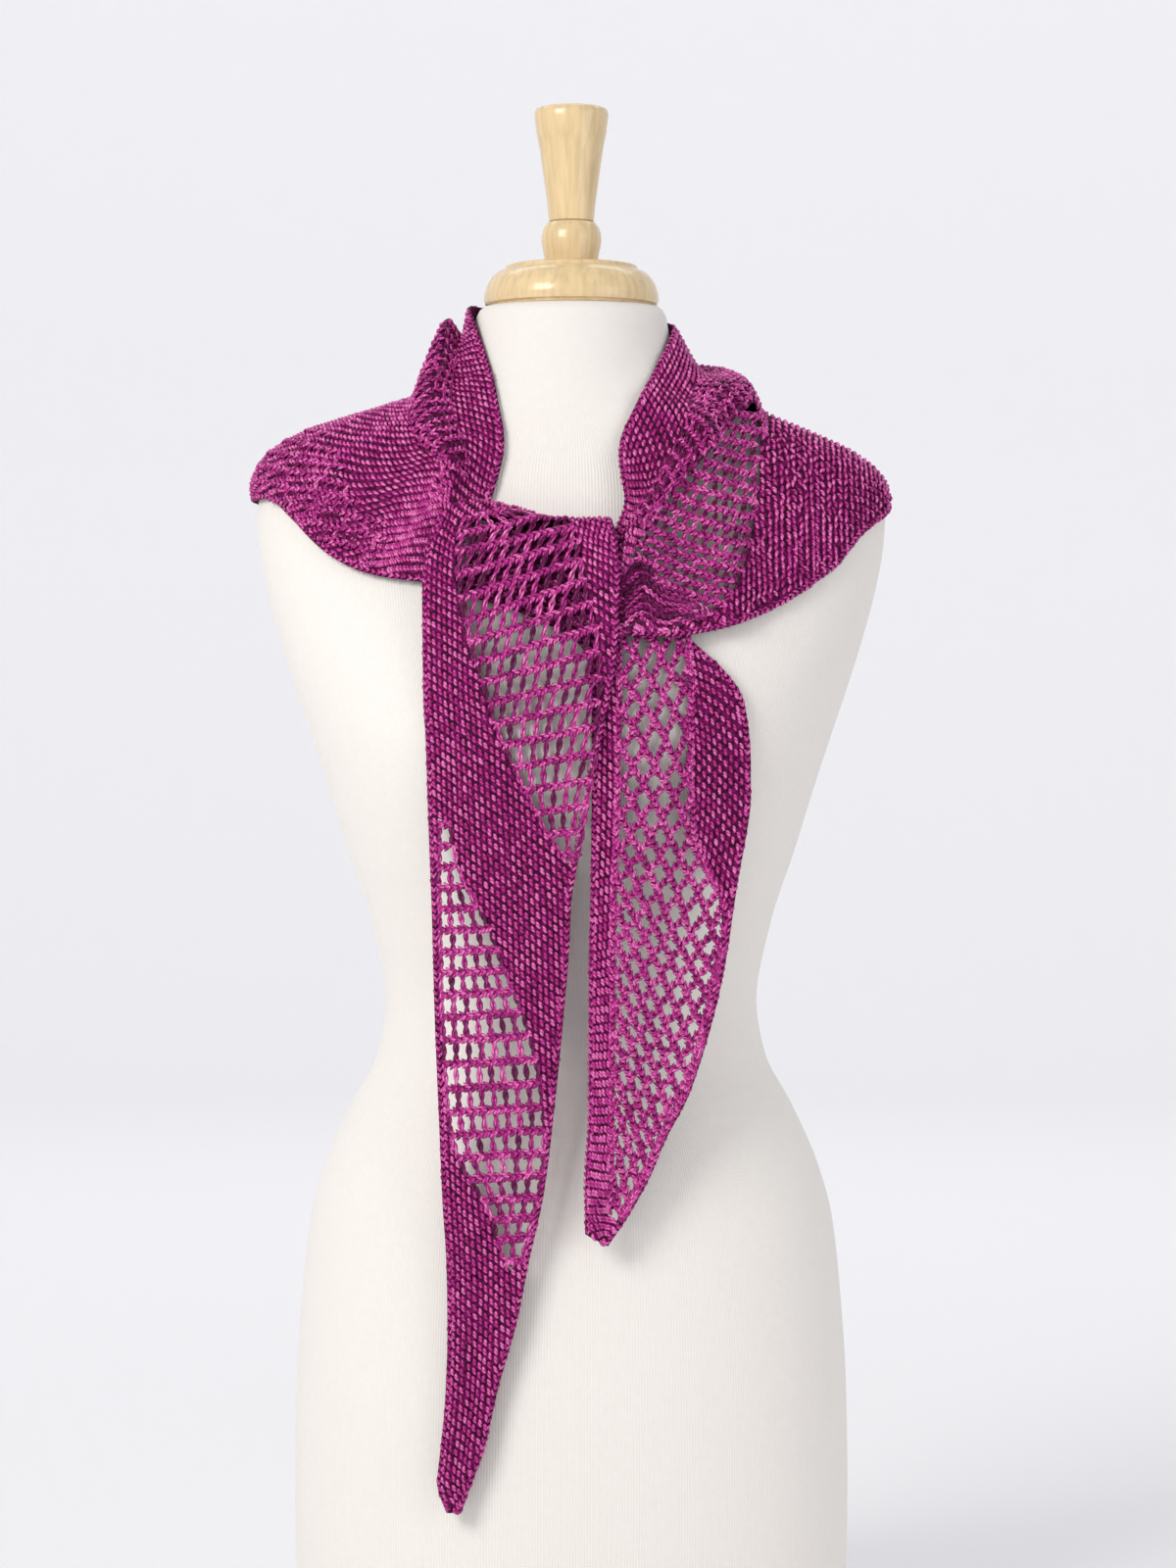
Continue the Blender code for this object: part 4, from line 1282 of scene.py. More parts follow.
def tail_lace(name, zone, closing, leans, girth, skew=None):
    """
    Lace in a zone of a tail, given by heights and borders.

    closing is the column at which the zone closes to nothing. leans are the
    slopes of its bars. skew is given for lace whose rows fall steeply.
    """
    cloth = sheet_of(name)
    tail = TAILS[name]
    spans = []
    steps = 8
    for step in range(tail.rows * steps + 1):
        found = []
        for index in range(121):
            column = tail.columns * index / 120.0
            if in_zone(zone, *tail.flat_place(column, step / steps)):
                found.append(column)
        spans.append((found[0], found[-1]) if len(found) > 2 else (closing, closing))
    lows, highs = np.array(spans).T
    at = np.arange(len(spans)) / steps

    def low(row):
        return float(np.interp(row, at, lows))

    def high(row):
        return float(np.interp(row, at, highs))

    rows = [row for row in range(tail.rows + 1) if high(row) - low(row) > 0.3]
    if skew:
        return skewed_lace(cloth, low, high, rows, *skew, girth)
    return even_lace(cloth, low, high, rows, leans, "open", girth)


class Finish:
    """A procedural material, built node by node."""

    def __init__(self, name, **inputs):
        self.material = bpy.data.materials.new(name)
        self.material.use_nodes = True
        self.tree = self.material.node_tree
        self.shader = self.tree.nodes["Principled BSDF"]
        for key, value in inputs.items():
            self.shader.inputs[key.replace("_", " ")].default_value = value

    def node(self, kind, settings, **links):
        """A node with its settings, its number inputs and its links."""
        made = self.tree.nodes.new("ShaderNode" + kind)
        for key, value in settings.items():
            if hasattr(made, key):
                setattr(made, key, value)
            else:
                made.inputs[key].default_value = value
        for key, source in links.items():
            self.tree.links.new(source, made.inputs[key])
        return made.outputs

    def sum(self, source, factor, other, operation="MULTIPLY_ADD"):
        """A value times a factor, with another value added."""
        made = self.tree.nodes.new("ShaderNodeMath")
        made.operation = operation
        self.tree.links.new(source, made.inputs[0])
        if factor is not None:
            made.inputs[1].default_value = factor
        if other is not None:
            self.tree.links.new(other, made.inputs[2])
        return made.outputs["Value"]

    def wave(self, source, turns):
        """The sine of a value, so many turns for each one."""
        angle = self.sum(source, 2.0 * math.pi * turns, None, "MULTIPLY")
        return self.sum(angle, None, None, "SINE")

    def place(self):
        """The place on the piece, in metres."""
        return self.node("TexCoord", {})["Object"]

    def split(self, source):
        """The separate coordinates of a place."""
        return self.node("SeparateXYZ", {}, Vector=source)

    def map(self, name):
        """The separate coordinates of one of the piece's own maps."""
        return self.split(self.node("UVMap", {"uv_map": name})["UV"])

    def colour(self, source, *stops):
        """Colours along a value, linked to the surface."""
        made = self.tree.nodes.new("ShaderNodeValToRGB")
        ramp = made.color_ramp
        for element, (position, colour) in zip(ramp.elements, (stops[0], stops[-1])):
            element.position = position
            element.color = (*colour, 1.0)
        for position, colour in stops[1:-1]:
            ramp.elements.new(position).color = (*colour, 1.0)
        self.tree.links.new(source, made.inputs["Fac"])
        self.tree.links.new(made.outputs["Color"], self.shader.inputs["Base Color"])

    def relief(self, source, strength, distance, invert=False):
        """Fine relief from a value."""
        settings = {"Strength": strength, "Distance": distance, "invert": invert}
        bump = self.node("Bump", settings, Height=source)
        self.tree.links.new(bump["Normal"], self.shader.inputs["Normal"])


def yarn_finish(colour):
    """Silky hand-dyed yarn, with its plies, uneven dye, painted highlights on the side of each
    stitch that faces out, and painted shade on its underside and between its plies.
    """
    yarn = Finish(
        "silky_magenta_yarn", Roughness=0.36, Specular_Tint=(1.0, 0.62, 0.9, 1.0),
        Sheen_Weight=0.08, Sheen_Roughness=0.4, Sheen_Tint=(1.0, 0.4, 0.8, 1.0),
    )
    dye = yarn.node("TexNoise", {"Scale": 26.0, "Detail": 3.0}, Vector=yarn.place())["Fac"]
    along, around = yarn.map("yarn")[:2]
    twist = yarn.sum(around, 3.0, yarn.sum(along, 2.2, None, "MULTIPLY"))
    strand = yarn.wave(twist, 1.0)
    tone = yarn.node("Attribute", {"attribute_name": "tone"})["Fac"]
    shade = yarn.sum(tone, 0.44, yarn.sum(dye, 0.28, None, "MULTIPLY"))
    # Painted highlight and shade: lighter on the side of each stitch that faces out, darker on its
    # underside.
    shade = yarn.sum(yarn.wave(around, 1.0), 0.42, shade)
    # Painted shade and highlight along the twist: darker between the plies, lighter along them.
    shade = yarn.sum(strand, 0.16, shade)
    # The darkest stop is painted shade and the two light stops are painted highlights, set by the
    # side that faces out and by the plies.
    yarn.colour(
        shade,
        (0.12, [value * 0.22 for value in colour]),
        (0.52, colour),
        (0.78, [min(value * 1.5 + 0.05, 1.0) for value in colour]),
        (0.96, [min(value * 1.5 + 0.24, 1.0) for value in colour]),
    )
    yarn.relief(strand, 0.6, 0.0005)
    return yarn.material


def painted_shade_ground_finish(colour):
    """Yarn between and behind the stitches, its colour darkened as painted shade."""
    ground = Finish("shaded_yarn_ground", Roughness=0.8, Specular_IOR_Level=0.15)
    knots = ground.node("TexVoronoi", {"Scale": 330.0}, Vector=ground.place())["Distance"]
    # Painted shade: the yarn's colour darkened, and darker still towards the edges of each small
    # knot, where the relief dips.
    ground.colour(
        knots, (0.0, [value * 0.62 for value in colour]), (0.7, [value * 0.1 for value in colour])
    )
    ground.relief(knots, 0.8, 0.001, True)
    return ground.material


def jersey_finish(colour):
    """Warm white jersey with fine upright ribs, a little darker where they dip as painted shade."""
    jersey = Finish("white_jersey", Roughness=0.85, Sheen_Weight=0.15)
    slub = jersey.node("TexNoise", {"Scale": 220.0, "Detail": 4.0}, Vector=jersey.place())["Fac"]
    rib = jersey.sum(jersey.wave(jersey.map("rib")["X"], 620.0), 0.5, slub)
    # Painted shade: a little darker where the relief of the ribs and slubs is low.
    jersey.colour(rib, (0.0, [value * 0.93 for value in colour]), (0.7, colour))
    jersey.relief(rib, 0.35, 0.0004)
    return jersey.material


def wood_finish(colour):
    """Pale varnished beech with faint upright grain."""
    wood = Finish("varnished_beech", Roughness=0.38, Coat_Weight=0.6, Coat_Roughness=0.12)
    upright = wood.node("Mapping", {"Scale": (1.0, 1.0, 0.06)}, Vector=wood.place())["Vector"]
    settings = {"Scale": 260.0, "Detail": 6.0, "Distortion": 0.4}
    grain = wood.node("TexNoise", settings, Vector=upright)["Fac"]
    wood.colour(grain, (0.3, [value * 0.8 for value in colour]), (0.62, colour))
    wood.relief(grain, 0.08, 0.0003)
    return wood.material


def studio_finish(colour):
    """Matt paint for the studio, a little darker on the floor."""
    studio = Finish("pale_studio", Roughness=0.9)
    height = studio.split(studio.place())["Z"]
    studio.colour(height, (0.0, [value * 0.97 for value in colour]), (1.0, colour))
    return studio.material


FINISHES = {
    "yarn": (yarn_finish, "yarn_colour"),
    "ground": (painted_shade_ground_finish, "yarn_colour"),
    "jersey": (jersey_finish, "jersey_colour"),
    "beech": (wood_finish, "wood_colour"),
    "backdrop": (studio_finish, "backdrop_colour"),
}


def finish(name):
    """One of the scene's finishes, made once."""
    if name not in made_finishes:
        make, colour = FINISHES[name]
        made_finishes[name] = make(getattr(bpy.context.scene.scarf, colour))
    return made_finishes[name]


made_finishes = {}
made_sheets = {}


def sheet_of(name):
    """One of the scarf's sheets, worked out once."""
    if name not in made_sheets:
        made_sheets[name] = worn_cloth() if name == "worn" else tail_cloth(name)
    return made_sheets[name]


def outside(cloth, laces):
    """A test for places that take garter bumps: off the lace and off the hem's chain."""
    def keep(rows, columns):
        kept = np.array([
            cloth.reach_at(row)[-1] - cloth.distance_at(row, column) > EDGE_CHAIN_WIDTH
            for row, column in zip(rows, columns)
        ])
        for lace in laces:
            if lace.kind != "laid":
                kept &= ~lace.covers(rows, columns, 0.05)
        return kept

    return keep


def knit_lace(laces, cloth, chains, bars, rng):
    """Lay the chain rows and bars of some lace, raised where it isn't open."""
    for lace in laces:
        lift = LIFTS[lace.kind]
        for rows, columns in lace.chains:
            knit_chain(cloth, chains, rng, rows, columns, lace.girth, lift)
        if lace.bars:
            knit_bars(cloth, bars, rng, lace.bars, lace.girth, lift)


def knit_edges(cloth, chains, rng):
    """Lay a chain along each long edge of a sheet."""
    for from_end in (False, True):
        rows, columns, _ = cloth.line_at(EDGE_CHAIN_INSET, from_end)
        knit_chain(cloth, chains, rng, rows, columns, 0.82)


def make_stretch(name, cloth, laces, stitches, span, last_stitch):
    """Make a stretch's ground, garter and lace, and hide the solid that it stands for."""
    garter, chains, bars = [kind.gathered(span[0], last_stitch) for kind in stitches]
    ground = make_ground(name + "_ground", cloth, *span, laces)
    bumps = stamp(name + "_garter", [(bump_shape(), garter)])
    plies = [(ply_shape(half_turn), bars) for half_turn in (0.0, 0.5)]
    lace_piece = stamp(name + "_lace", [(leg_shape(), chains), *plies])
    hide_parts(name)


def knit_tail(name, laces):
    """Knit one tail: its ground, garter bumps, chains and bars."""
    cloth = sheet_of(name)
    rng = np.random.default_rng(SEED + len(name))
    garter, chains, bars = stitches = [Stitches() for _ in range(3)]
    knit_lace(laces, cloth, chains, bars, rng)
    knit_garter(cloth, garter, rng, outside(cloth, laces), 18.0)
    knit_edges(cloth, chains, rng)
    make_stretch(name, cloth, laces, stitches, (0.0, cloth.last_row), math.inf)


STATIONS = []
for _, spans in WORN_STRETCHES:
    STATIONS += spread_stations(spans)[len(STATIONS) > 0:]


def row_of_station(station):
    """The row of the worn sheet at a station."""
    return float(np.interp(station, STATIONS, np.arange(len(STATIONS))))


def station_of_row(row):
    """The station of a row of the worn sheet."""
    return float(np.interp(row, np.arange(len(STATIONS)), STATIONS))


def worn_borders(cloth, table, first, last):
    """Both borders of a zone, as columns at a row, from distances at stations."""
    def border(row, side):
        station = station_of_row(row)
        if not first - 0.001 <= station <= last + 0.001:
            side = 0
        distances = read_table(table, min(max(station, first), last))
        return cloth.column_at(row, distances[side])

    return (
        lambda row: border(row, 0),
        lambda row: max(border(row, 0), border(row, 1)),
    )


def crossing_lace(cloth, table, first, last, pitch, leans, kind, girth=1.0):
    """Lace round the worn part with chain rows across it, between two stations."""
    low, high = worn_borders(cloth, table, first, last)
    rows = [row_of_station(first)]
    stop = row_of_station(last)
    while rows[-1] < stop:
        middle = (low(rows[-1]) + high(rows[-1])) / 2.0
        rows.append(cloth.row_after(rows[-1], middle, pitch))
    rows[-1] = min(rows[-1], cloth.last_row)
    return even_lace(cloth, low, high, rows, leans, kind, girth)


def level_lace(cloth, finder, table, span, levels, places, drop, bars_at, kind, girth):
    """
    Lace seen from the front as nearly level chain rows with upright bars.

    levels are the heights of the chain rows at the last of the places, and
    drop gives how much higher a row is at another place. bars_at is the pitch
    and the lean of the bars.
    """
    pitch, lean = bars_at
    low, high = worn_borders(cloth, table, *span)
    first_row, last_row = [row_of_station(station) for station in span]

    def wanted(row, column):
        return first_row <= row <= last_row and low(row) - 0.15 < column < high(row) + 0.15

    def ray(x, level):
        return (x, -400.0, level + drop(x)), (0.0, 1.0, 0.0)

    def find(x, level):
        place = finder.find(*ray(x, level))
        return place if place is not None and wanted(*place) else None

    chains = []
    for level in levels:
        rays = [ray(x, level) for x in np.arange(*places, 2.0)]
        line = finder.line(rays, wanted)
        if line is not None:
            chains.append((line[1], line[2]))
    bars = []
    for upper, lower in zip(levels, levels[1:]):
        for x in np.arange(places[1] - 2.0, places[0], -pitch):
            start, end = find(x + lean, upper), find(x - lean, lower)
            if start is not None and end is not None:
                bars.append((start, end))
    return Lace(low, high, first_row, last_row, chains, bars, kind, girth)


def strand_lace(cloth, table, first, last, count, girth):
    """Twisted strands that lie side by side along the scarf."""
    low, high = worn_borders(cloth, table, first, last)
    first_row, last_row = row_of_station(first), row_of_station(last)
    inside = (cloth.rows >= first_row) & (cloth.rows <= last_row)
    rows = cloth.rows[inside]
    bars = []
    for index in range(count):
        share = index / (count - 1)
        columns = np.array([low(row) + share * (high(row) - low(row)) for row in rows])
        run = run_of(cloth.points(rows, columns))
        stops = np.arange(0.1, run[-1], 8.5)
        places = list(zip(np.interp(stops, run, rows), np.interp(stops, run, columns)))
        bars += list(zip(places, places[1:]))
    return Lace(low, high, first_row, last_row, [], bars, "bare", girth)


# Lace round the worn part: station, then how far its borders lie from the neck
# edge
RIGHT_LACE = (
    (0, 34, 42), (0.3, 50, 80), (0.6, 58, 114), (0.9, 63, 146), (1.1, 65, 161), (1.2, 66, 162),
    (1.5, 67, 152), (1.7, 67, 123), (1.8, 67, 100), (1.95, 68, 85), (2.1, 68, 70),
)
RIGHT_ROLL = (
    (0.1, 14, 34), (0.6, 32, 57), (1.2, 35, 65), (1.8, 28, 66), (2.4, 40, 68),
)
KNOT_STRANDS = (
    (-1, 6, 92), (0, 45, 91), (0.6, 115, 144), (1.1, 160, 163),
)
BACK_LACE = (
    (3.4, 104, 112), (3.9, 112, 160), (5, 120, 190), (6.1, 108, 160), (6.9, 99, 112),
)
LEFT_ROLL = (
    (7, 28, 84), (7.7, 24, 74), (8.3, 30, 66), (8.9, 27, 62), (9.3, 22, 52),
)
LEFT_LACE = (
    (7.2, 170, 222), (7.7, 140, 199), (8, 126, 175), (8.3, 119, 160), (8.6, 118, 150),
    (8.9, 118, 146), (9.3, 105, 128),
)
# Garter columns over the right shoulder: the x where they begin, their pitch,
# the sheet's column where the cape begins, and the y and height of their axis
SHOULDER_COLUMNS_FROM = 93.0
SHOULDER_PITCH = 3.9
CAPE_FROM_COLUMN = 10.8
SHOULDER_AXIS = (10.0, 640.0)
# Heights of the chain rows of both wings, from the top down
RIGHT_LEVELS = [797.0 - 9.2 * step for step in range(14)]
while RIGHT_LEVELS[-1] > 615.0:
    RIGHT_LEVELS.append(RIGHT_LEVELS[-1] - 7.6)
LEFT_LEVELS = [812.0 - 9.5 * step for step in range(20)]


def right_drop(x):
    """How much higher a chain row of the right wing is towards the roll."""
    return 0.1 * (113.0 - x) + 0.0033 * (113.0 - x) ** 2


def left_drop(x):
    """How much higher a chain row of the left wing is towards its tip."""
    return -0.25 * (x + 100.0)


def knit_worn():
    """Knit the three worn stretches on one continuous sheet."""
    cloth, breaks = sheet_of("worn")
    finder = Finder(cloth)
    rng = np.random.default_rng(SEED)
    laces = [
        crossing_lace(cloth, RIGHT_ROLL, 0.1, 2.4, 9.0, (0.3, 0.3), "bare", 1.1),
        strand_lace(cloth, KNOT_STRANDS, -1.0, 1.1, 8, 1.3),
        level_lace(
            cloth, finder, RIGHT_LACE, (0.0, 2.1), RIGHT_LEVELS, (24.0, 122.0),
            right_drop, (6.2, 1.9), "open", 1.12,
        ),
        crossing_lace(cloth, BACK_LACE, 3.4, 6.9, 10.4, (-0.1, -0.1), "open", 1.3),
        crossing_lace(cloth, LEFT_ROLL, 7.0, 9.3, 9.0, (0.3, 0.3), "bare", 1.1),
        level_lace(
            cloth, finder, LEFT_LACE, (7.2, 9.3), LEFT_LEVELS, (-212.0, -100.0),
            left_drop, (6.2, 1.6), "laid", 1.0,
        ),
    ]
    garter, chains, bars = stitches = [Stitches() for _ in range(3)]
    knit_lace(laces, cloth, chains, bars, rng)
    plain = outside(cloth, laces)

    def on_right_cape(rows, columns):
        x = cloth.points(rows, columns)[:, 0]
        return (x > SHOULDER_COLUMNS_FROM) & (columns > CAPE_FROM_COLUMN)

    knit_garter(
        cloth, garter, rng,
        lambda rows, columns: plain(rows, columns) & ~on_right_cape(rows, columns), -18.0,
    )
    knit_shoulder(cloth, finder, garter, rng, plain)
    knit_edges(cloth, chains, rng)
    for (name, _), *span in zip(WORN_STRETCHES, breaks, breaks[1:]):
        make_stretch(name, cloth, laces, stitches, span, span[1])


def knit_shoulder(cloth, finder, garter, rng, plain):
    """Garter columns that run over the right shoulder from front to back."""
    turns = np.radians(-50.0 + 1.2 * np.arange(240))
    laid = None
    for x in shoulder_places(finder):
        rays = [shoulder_ray(x, turn) for turn in turns]
        line = finder.line(rays, lambda row, column: column > CAPE_FROM_COLUMN)
        if line is not None:
            line = (*line, np.ones(line.shape[1]))
            laid = knit_line(cloth, garter, rng, line, laid, 12.0, plain)


def shoulder_ray(x, turn):
    """A ray from the shoulder's axis: where it starts and where it points."""
    return (x, *SHOULDER_AXIS), (0.0, -math.cos(turn), math.sin(turn))


def shoulder_places(finder):
    """Where those columns stand, a column apart along the shoulder."""
    turns = [math.radians(angle) for angle in range(0, 100, 12)]
    places = []
    last = {}
    for x in np.arange(SHOULDER_COLUMNS_FROM + 1.0, 203.0, 0.4):
        rays = {turn: map(Vector, shoulder_ray(x, turn)) for turn in turns}
        hits = {turn: finder.tree.ray_cast(*ray)[0] for turn, ray in rays.items()}
        hits = {turn: hit for turn, hit in hits.items() if hit is not None}
        steps = [(hit - last[turn]).length for turn, hit in hits.items() if turn in last]
        if not last or (steps and np.median(steps) >= SHOULDER_PITCH):
            places.append(float(x))
            last = hits
    return places


# Sides of the form's cover, and about how far its rings lie apart
COVER_SIDES = 144
COVER_RINGS_APART = 6.0


def make_torso(context):
    """Loft the jersey cover of the form through many fine rings."""
    heights = []
    for low, high in zip(BODY, BODY[1:]):
        steps = max(int((high[0] - low[0]) / COVER_RINGS_APART), 1)
        heights += [low[0] + (high[0] - low[0]) * step / steps for step in range(steps)]
    heights.append(BODY[-1][0])
    bpy.ops.object.select_all(action="DESELECT")
    bpy.ops.mesh.primitive_grid_add(
        x_subdivisions=COVER_SIDES, y_subdivisions=len(heights) - 1, size=2.0, calc_uvs=True
    )
    piece = context.active_object
    piece.name = "torso_jersey"
    mesh = piece.data
    mesh.name = "torso_jersey"
    mesh.uv_layers[0].name = "rib"
    for vertex in mesh.vertices:
        turn = math.pi * (vertex.co.x + 1.0)
        index = int(round((vertex.co.y + 1.0) / 2.0 * (len(heights) - 1)))
        height = heights[index]
        half_width, front, back, power = read_table(BODY, height)
        depth = back if math.sin(turn) > 0.0 else front
        azimuth = math.atan2(depth * math.sin(turn), half_width * math.cos(turn))
        radius = section_radius((half_width, front, back, power), azimuth)
        vertex.co = (
            radius * math.cos(azimuth) * MM, radius * math.sin(azimuth) * MM, height * MM
        )
    select_only(piece)
    bpy.ops.object.mode_set(mode="EDIT")
    bpy.ops.mesh.select_all(action="SELECT")
    bpy.ops.mesh.remove_doubles(threshold=0.00002)
    bpy.ops.mesh.select_all(action="DESELECT")
    bpy.ops.mesh.select_non_manifold()
    bpy.ops.mesh.edge_face_add()
    close_edit()
    link(piece, "jersey")
    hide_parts("torso")


# Turned profiles from the bottom up: radius and height
CAP_PROFILE = (
    (51.5, 842.3), (51.5, 843.8), (54.6, 844.3), (55.5, 847), (55, 851.5), (53.2, 857),
    (50.2, 861.6), (46.5, 864.6), (42.3, 866), (41.4, 868.4), (38.5, 869.3),
)
BALL_PROFILE = (
    (16.6, 869.6), (17.3, 875), (18.4, 880.2), (19, 884.6), (18.8, 888.8), (17.5, 892.8),
    (15.4, 895.8), (13.8, 896.8),
)
HANDLE_PROFILE = (
    (14.2, 897.1), (15.6, 911), (17.4, 923.6), (20.1, 942.6), (22.2, 953), (23.6, 964.8),
    (22.4, 967.8), (19.6, 969),
)


def make_turning(name, profile, node):
    """Turn one wooden piece: a disc drawn up through its profile."""
    centre = (0.0, NECK_CENTRE_Y * MM, profile[0][1] * MM)
    piece = add_ring(name, profile[0][0] * MM, centre)
    steps = [profile[0]]
    for (low_radius, low), (high_radius, high) in zip(profile, profile[1:]):
        count = max(int((high - low) / 3.0), 1)
        for share in [step / count for step in range(1, count + 1)]:
            radius = low_radius + (high_radius - low_radius) * share
            steps.append((radius, low + (high - low) * share))
    draw_up([(radius * MM, height * MM) for radius, height in steps], centre)
    close_edit()
    link(piece, "beech")
    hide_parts(node)


class ScarfSizes(bpy.types.PropertyGroup):
    """Stitch sizes, and colours of the scarf, the form and the stage."""

    garter_pitch: bpy.props.FloatProperty(
        name="Garter stitch", description="Length that one garter stitch takes up",
        default=0.0055, min=0.004, max=0.008, subtype="DISTANCE", unit="LENGTH", precision=5,
    )
    column_pitch: bpy.props.FloatProperty(
        name="Garter column", description="Distance between two columns of garter stitches",
        default=0.00345, min=0.0025, max=0.006, subtype="DISTANCE", unit="LENGTH", precision=5,
    )
    chain_pitch: bpy.props.FloatProperty(
        name="Chain stitch", description="Length that one stitch of a chain takes up",
        default=0.0042, min=0.003, max=0.007, subtype="DISTANCE", unit="LENGTH", precision=5,
    )
    ground: bpy.props.FloatProperty(
        name="Ground", description="Thickness of the thin ground behind the stitches",
        default=0.0009, min=0.0005, max=0.002, subtype="DISTANCE", unit="LENGTH", precision=5,
    )
    yarn_colour: bpy.props.FloatVectorProperty(
        name="Yarn", description="Dye of the scarf's yarn", subtype="COLOR",
        default=(0.42, 0.0105, 0.21), min=0.0, max=1.0,
    )
    jersey_colour: bpy.props.FloatVectorProperty(
        name="Jersey", description="Colour of the form's cover", subtype="COLOR",
        default=(0.88, 0.84, 0.79), min=0.0, max=1.0,
    )
    wood_colour: bpy.props.FloatVectorProperty(
        name="Wood", description="Colour of the turned wood", subtype="COLOR",
        default=(0.80, 0.60, 0.32), min=0.0, max=1.0,
    )
    backdrop_colour: bpy.props.FloatVectorProperty(
        name="Backdrop", description="Colour of the floor and the backdrop", subtype="COLOR",
        default=(0.93, 0.925, 0.94), min=0.0, max=1.0,
    )


class SCARF_OT_form(bpy.types.Operator):
    """Make the jersey-covered form"""

    bl_idname = "scarf.form"
    bl_label = "Dress form"

    def execute(self, context):
        make_torso(context)
        return {"FINISHED"}


class SCARF_OT_wood(bpy.types.Operator):
    """Turn the neck cap, the ball and the handle"""

    bl_idname = "scarf.wood"
    bl_label = "Turned wood"

    def execute(self, context):
        make_turning("neck_cap_turned", CAP_PROFILE, "neck_cap")
        make_turning("finial_ball_turned", BALL_PROFILE, "finial_ball")
        make_turning("finial_handle_turned", HANDLE_PROFILE, "finial_handle")
        return {"FINISHED"}


class SCARF_OT_worn(bpy.types.Operator):
    """Knit the stretches round the neck and shoulders"""

    bl_idname = "scarf.worn"
    bl_label = "Worn stretches"

    def execute(self, context):
        knit_worn()
        return {"FINISHED"}


class SCARF_OT_under_tail(bpy.types.Operator):
    """Knit the tail that hangs on the right"""

    bl_idname = "scarf.under_tail"
    bl_label = "Under tail"

    def execute(self, context):
        skew = (7.0, (1.32, 1.15, 6.6), 0.6)
        knit_tail("tail_under", [tail_lace("tail_under", UNDER_LACE, 4.5, None, 1.06, skew)])
        return {"FINISHED"}


class SCARF_OT_front_tail(bpy.types.Operator):
    """Knit the long tail that turns over the knot"""

    bl_idname = "scarf.front_tail"
    bl_label = "Front tail"

    def execute(self, context):
        knit_tail("tail_front", [
            tail_lace("tail_front", FRONT_LACE_LOW, 1.0, (0.1, 0.0), 1.25),
            tail_lace("tail_front", FRONT_LACE_HIGH, 10.4, (0.62, 0.12), 1.15),
        ])
        return {"FINISHED"}


class SCARF_OT_stage(bpy.types.Operator):
    """Set the floor, the backdrop, the lights and the camera"""

    bl_idname = "scarf.stage"
    bl_label = "Stage"

    def execute(self, context):
        make_stage(context)
        return {"FINISHED"}


# The room: radius of its floor, radius of its curved foot, and height
ROOM = (5.2, 1.4, 5.5)
# The lights: place, what it looks at, width and height, power in watts, colour
LIGHTS = {
    "key_light": ((-1.7, -2.2, 1.9), (0.0, 0.0, 0.55), (1.3, 1.3), 53.0, (1.0, 0.985, 0.96)),
    "fill_light": ((2.2, -2.0, 1.0), (0.0, 0.0, 0.5), (1.8, 1.8), 15.0, (0.97, 0.98, 1.0)),
    "back_light": ((0.0, 2.6, 4.4), (0.0, 4.6, 0.0), (6.0, 3.0), 98.0, (1.0, 1.0, 1.0)),
}
CAMERA_PLACE = (0.0105, -3.0, 0.541)
CAMERA_LENS = 108.88


def area_light(name, place, target, extent, power, colour):
    """A soft rectangular light that looks at a point."""
    light = bpy.data.lights.new(name, "AREA")
    light.shape = "RECTANGLE"
    light.size, light.size_y = extent
    light.energy = power
    light.color = colour
    lamp = bpy.data.objects.new(name, light)
    bpy.context.scene.collection.objects.link(lamp)
    lamp.location = place
    lamp.rotation_euler = (Vector(target) - Vector(place)).to_track_quat("-Z", "Y").to_euler()


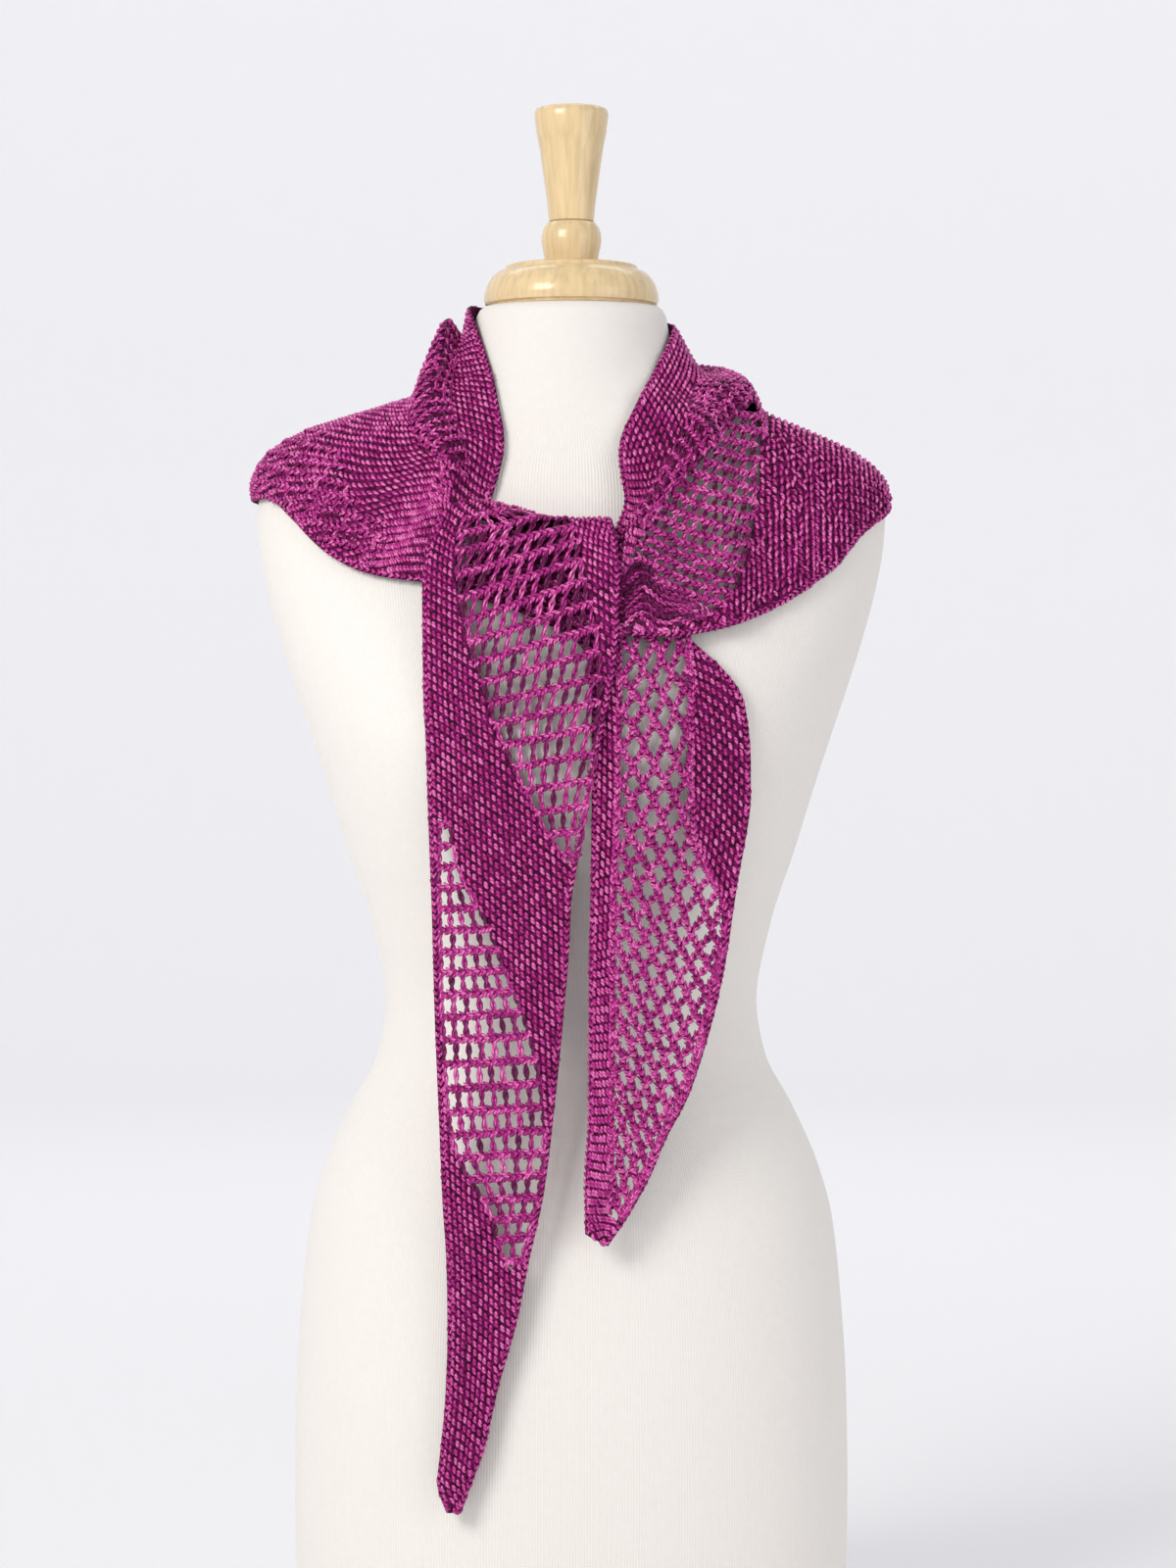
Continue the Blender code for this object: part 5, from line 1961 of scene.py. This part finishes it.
def make_stage(context):
    """A round pale studio with a curved foot, soft lights and the camera."""
    floor, foot, height = ROOM
    centre = (0.0, 0.0, 0.0)
    sweep = add_ring("sweep", floor, centre)
    turns = [math.radians(90.0 * step / 13.0) for step in range(14)]
    steps = [(floor + foot * math.sin(turn), foot * (1.0 - math.cos(turn))) for turn in turns]
    draw_up([*steps, (floor + foot, height)], centre)
    bpy.ops.mesh.delete(type="ONLY_FACE")
    close_edit(inside=True)
    sweep.data.materials.append(finish("backdrop"))
    for name, light in LIGHTS.items():
        area_light(name, *light)
    world = bpy.data.worlds.new("soft_room")
    world.use_nodes = True
    background = world.node_tree.nodes["Background"].inputs
    background["Color"].default_value = (0.96, 0.97, 1.0, 1.0)
    background["Strength"].default_value = 0.5
    context.scene.world = world
    camera = bpy.data.cameras.new("camera")
    camera.lens = CAMERA_LENS
    camera.sensor_width = 36.0
    camera.dof.use_dof = False
    viewer = bpy.data.objects.new("camera", camera)
    context.scene.collection.objects.link(viewer)
    viewer.location = CAMERA_PLACE
    viewer.rotation_euler = (math.radians(90.0), 0.0, 0.0)
    context.scene.camera = viewer
    context.scene.view_settings.view_transform = "Standard"


class SCARF_PT_panel(bpy.types.Panel):
    """The scarf's pieces"""

    bl_label = "Knitted scarf"
    bl_idname = "SCARF_PT_panel"
    bl_space_type = "VIEW_3D"
    bl_region_type = "UI"
    bl_category = "Scarf"

    def draw(self, context):
        layout = self.layout
        sizes = context.scene.scarf
        for name in ScarfSizes.__annotations__:
            layout.prop(sizes, name)
        for operator in OPERATORS:
            layout.operator(operator.bl_idname)


OPERATORS = (
    SCARF_OT_form,
    SCARF_OT_wood,
    SCARF_OT_worn,
    SCARF_OT_under_tail,
    SCARF_OT_front_tail,
    SCARF_OT_stage,
)


def register():
    """Add the sizes, the buttons and the panel."""
    bpy.utils.register_class(ScarfSizes)
    for operator in OPERATORS:
        bpy.utils.register_class(operator)
    bpy.utils.register_class(SCARF_PT_panel)
    bpy.types.Scene.scarf = bpy.props.PointerProperty(type=ScarfSizes)


def unregister():
    """Take them away again."""
    del bpy.types.Scene.scarf
    bpy.utils.unregister_class(SCARF_PT_panel)
    for operator in reversed(OPERATORS):
        bpy.utils.unregister_class(operator)
    bpy.utils.unregister_class(ScarfSizes)


def main():
    """Make every piece and the stage."""
    register()
    bpy.ops.scarf.form()
    bpy.ops.scarf.wood()
    bpy.ops.scarf.worn()
    bpy.ops.scarf.under_tail()
    bpy.ops.scarf.front_tail()
    bpy.ops.scarf.stage()


if __name__ == "__main__":
    main()
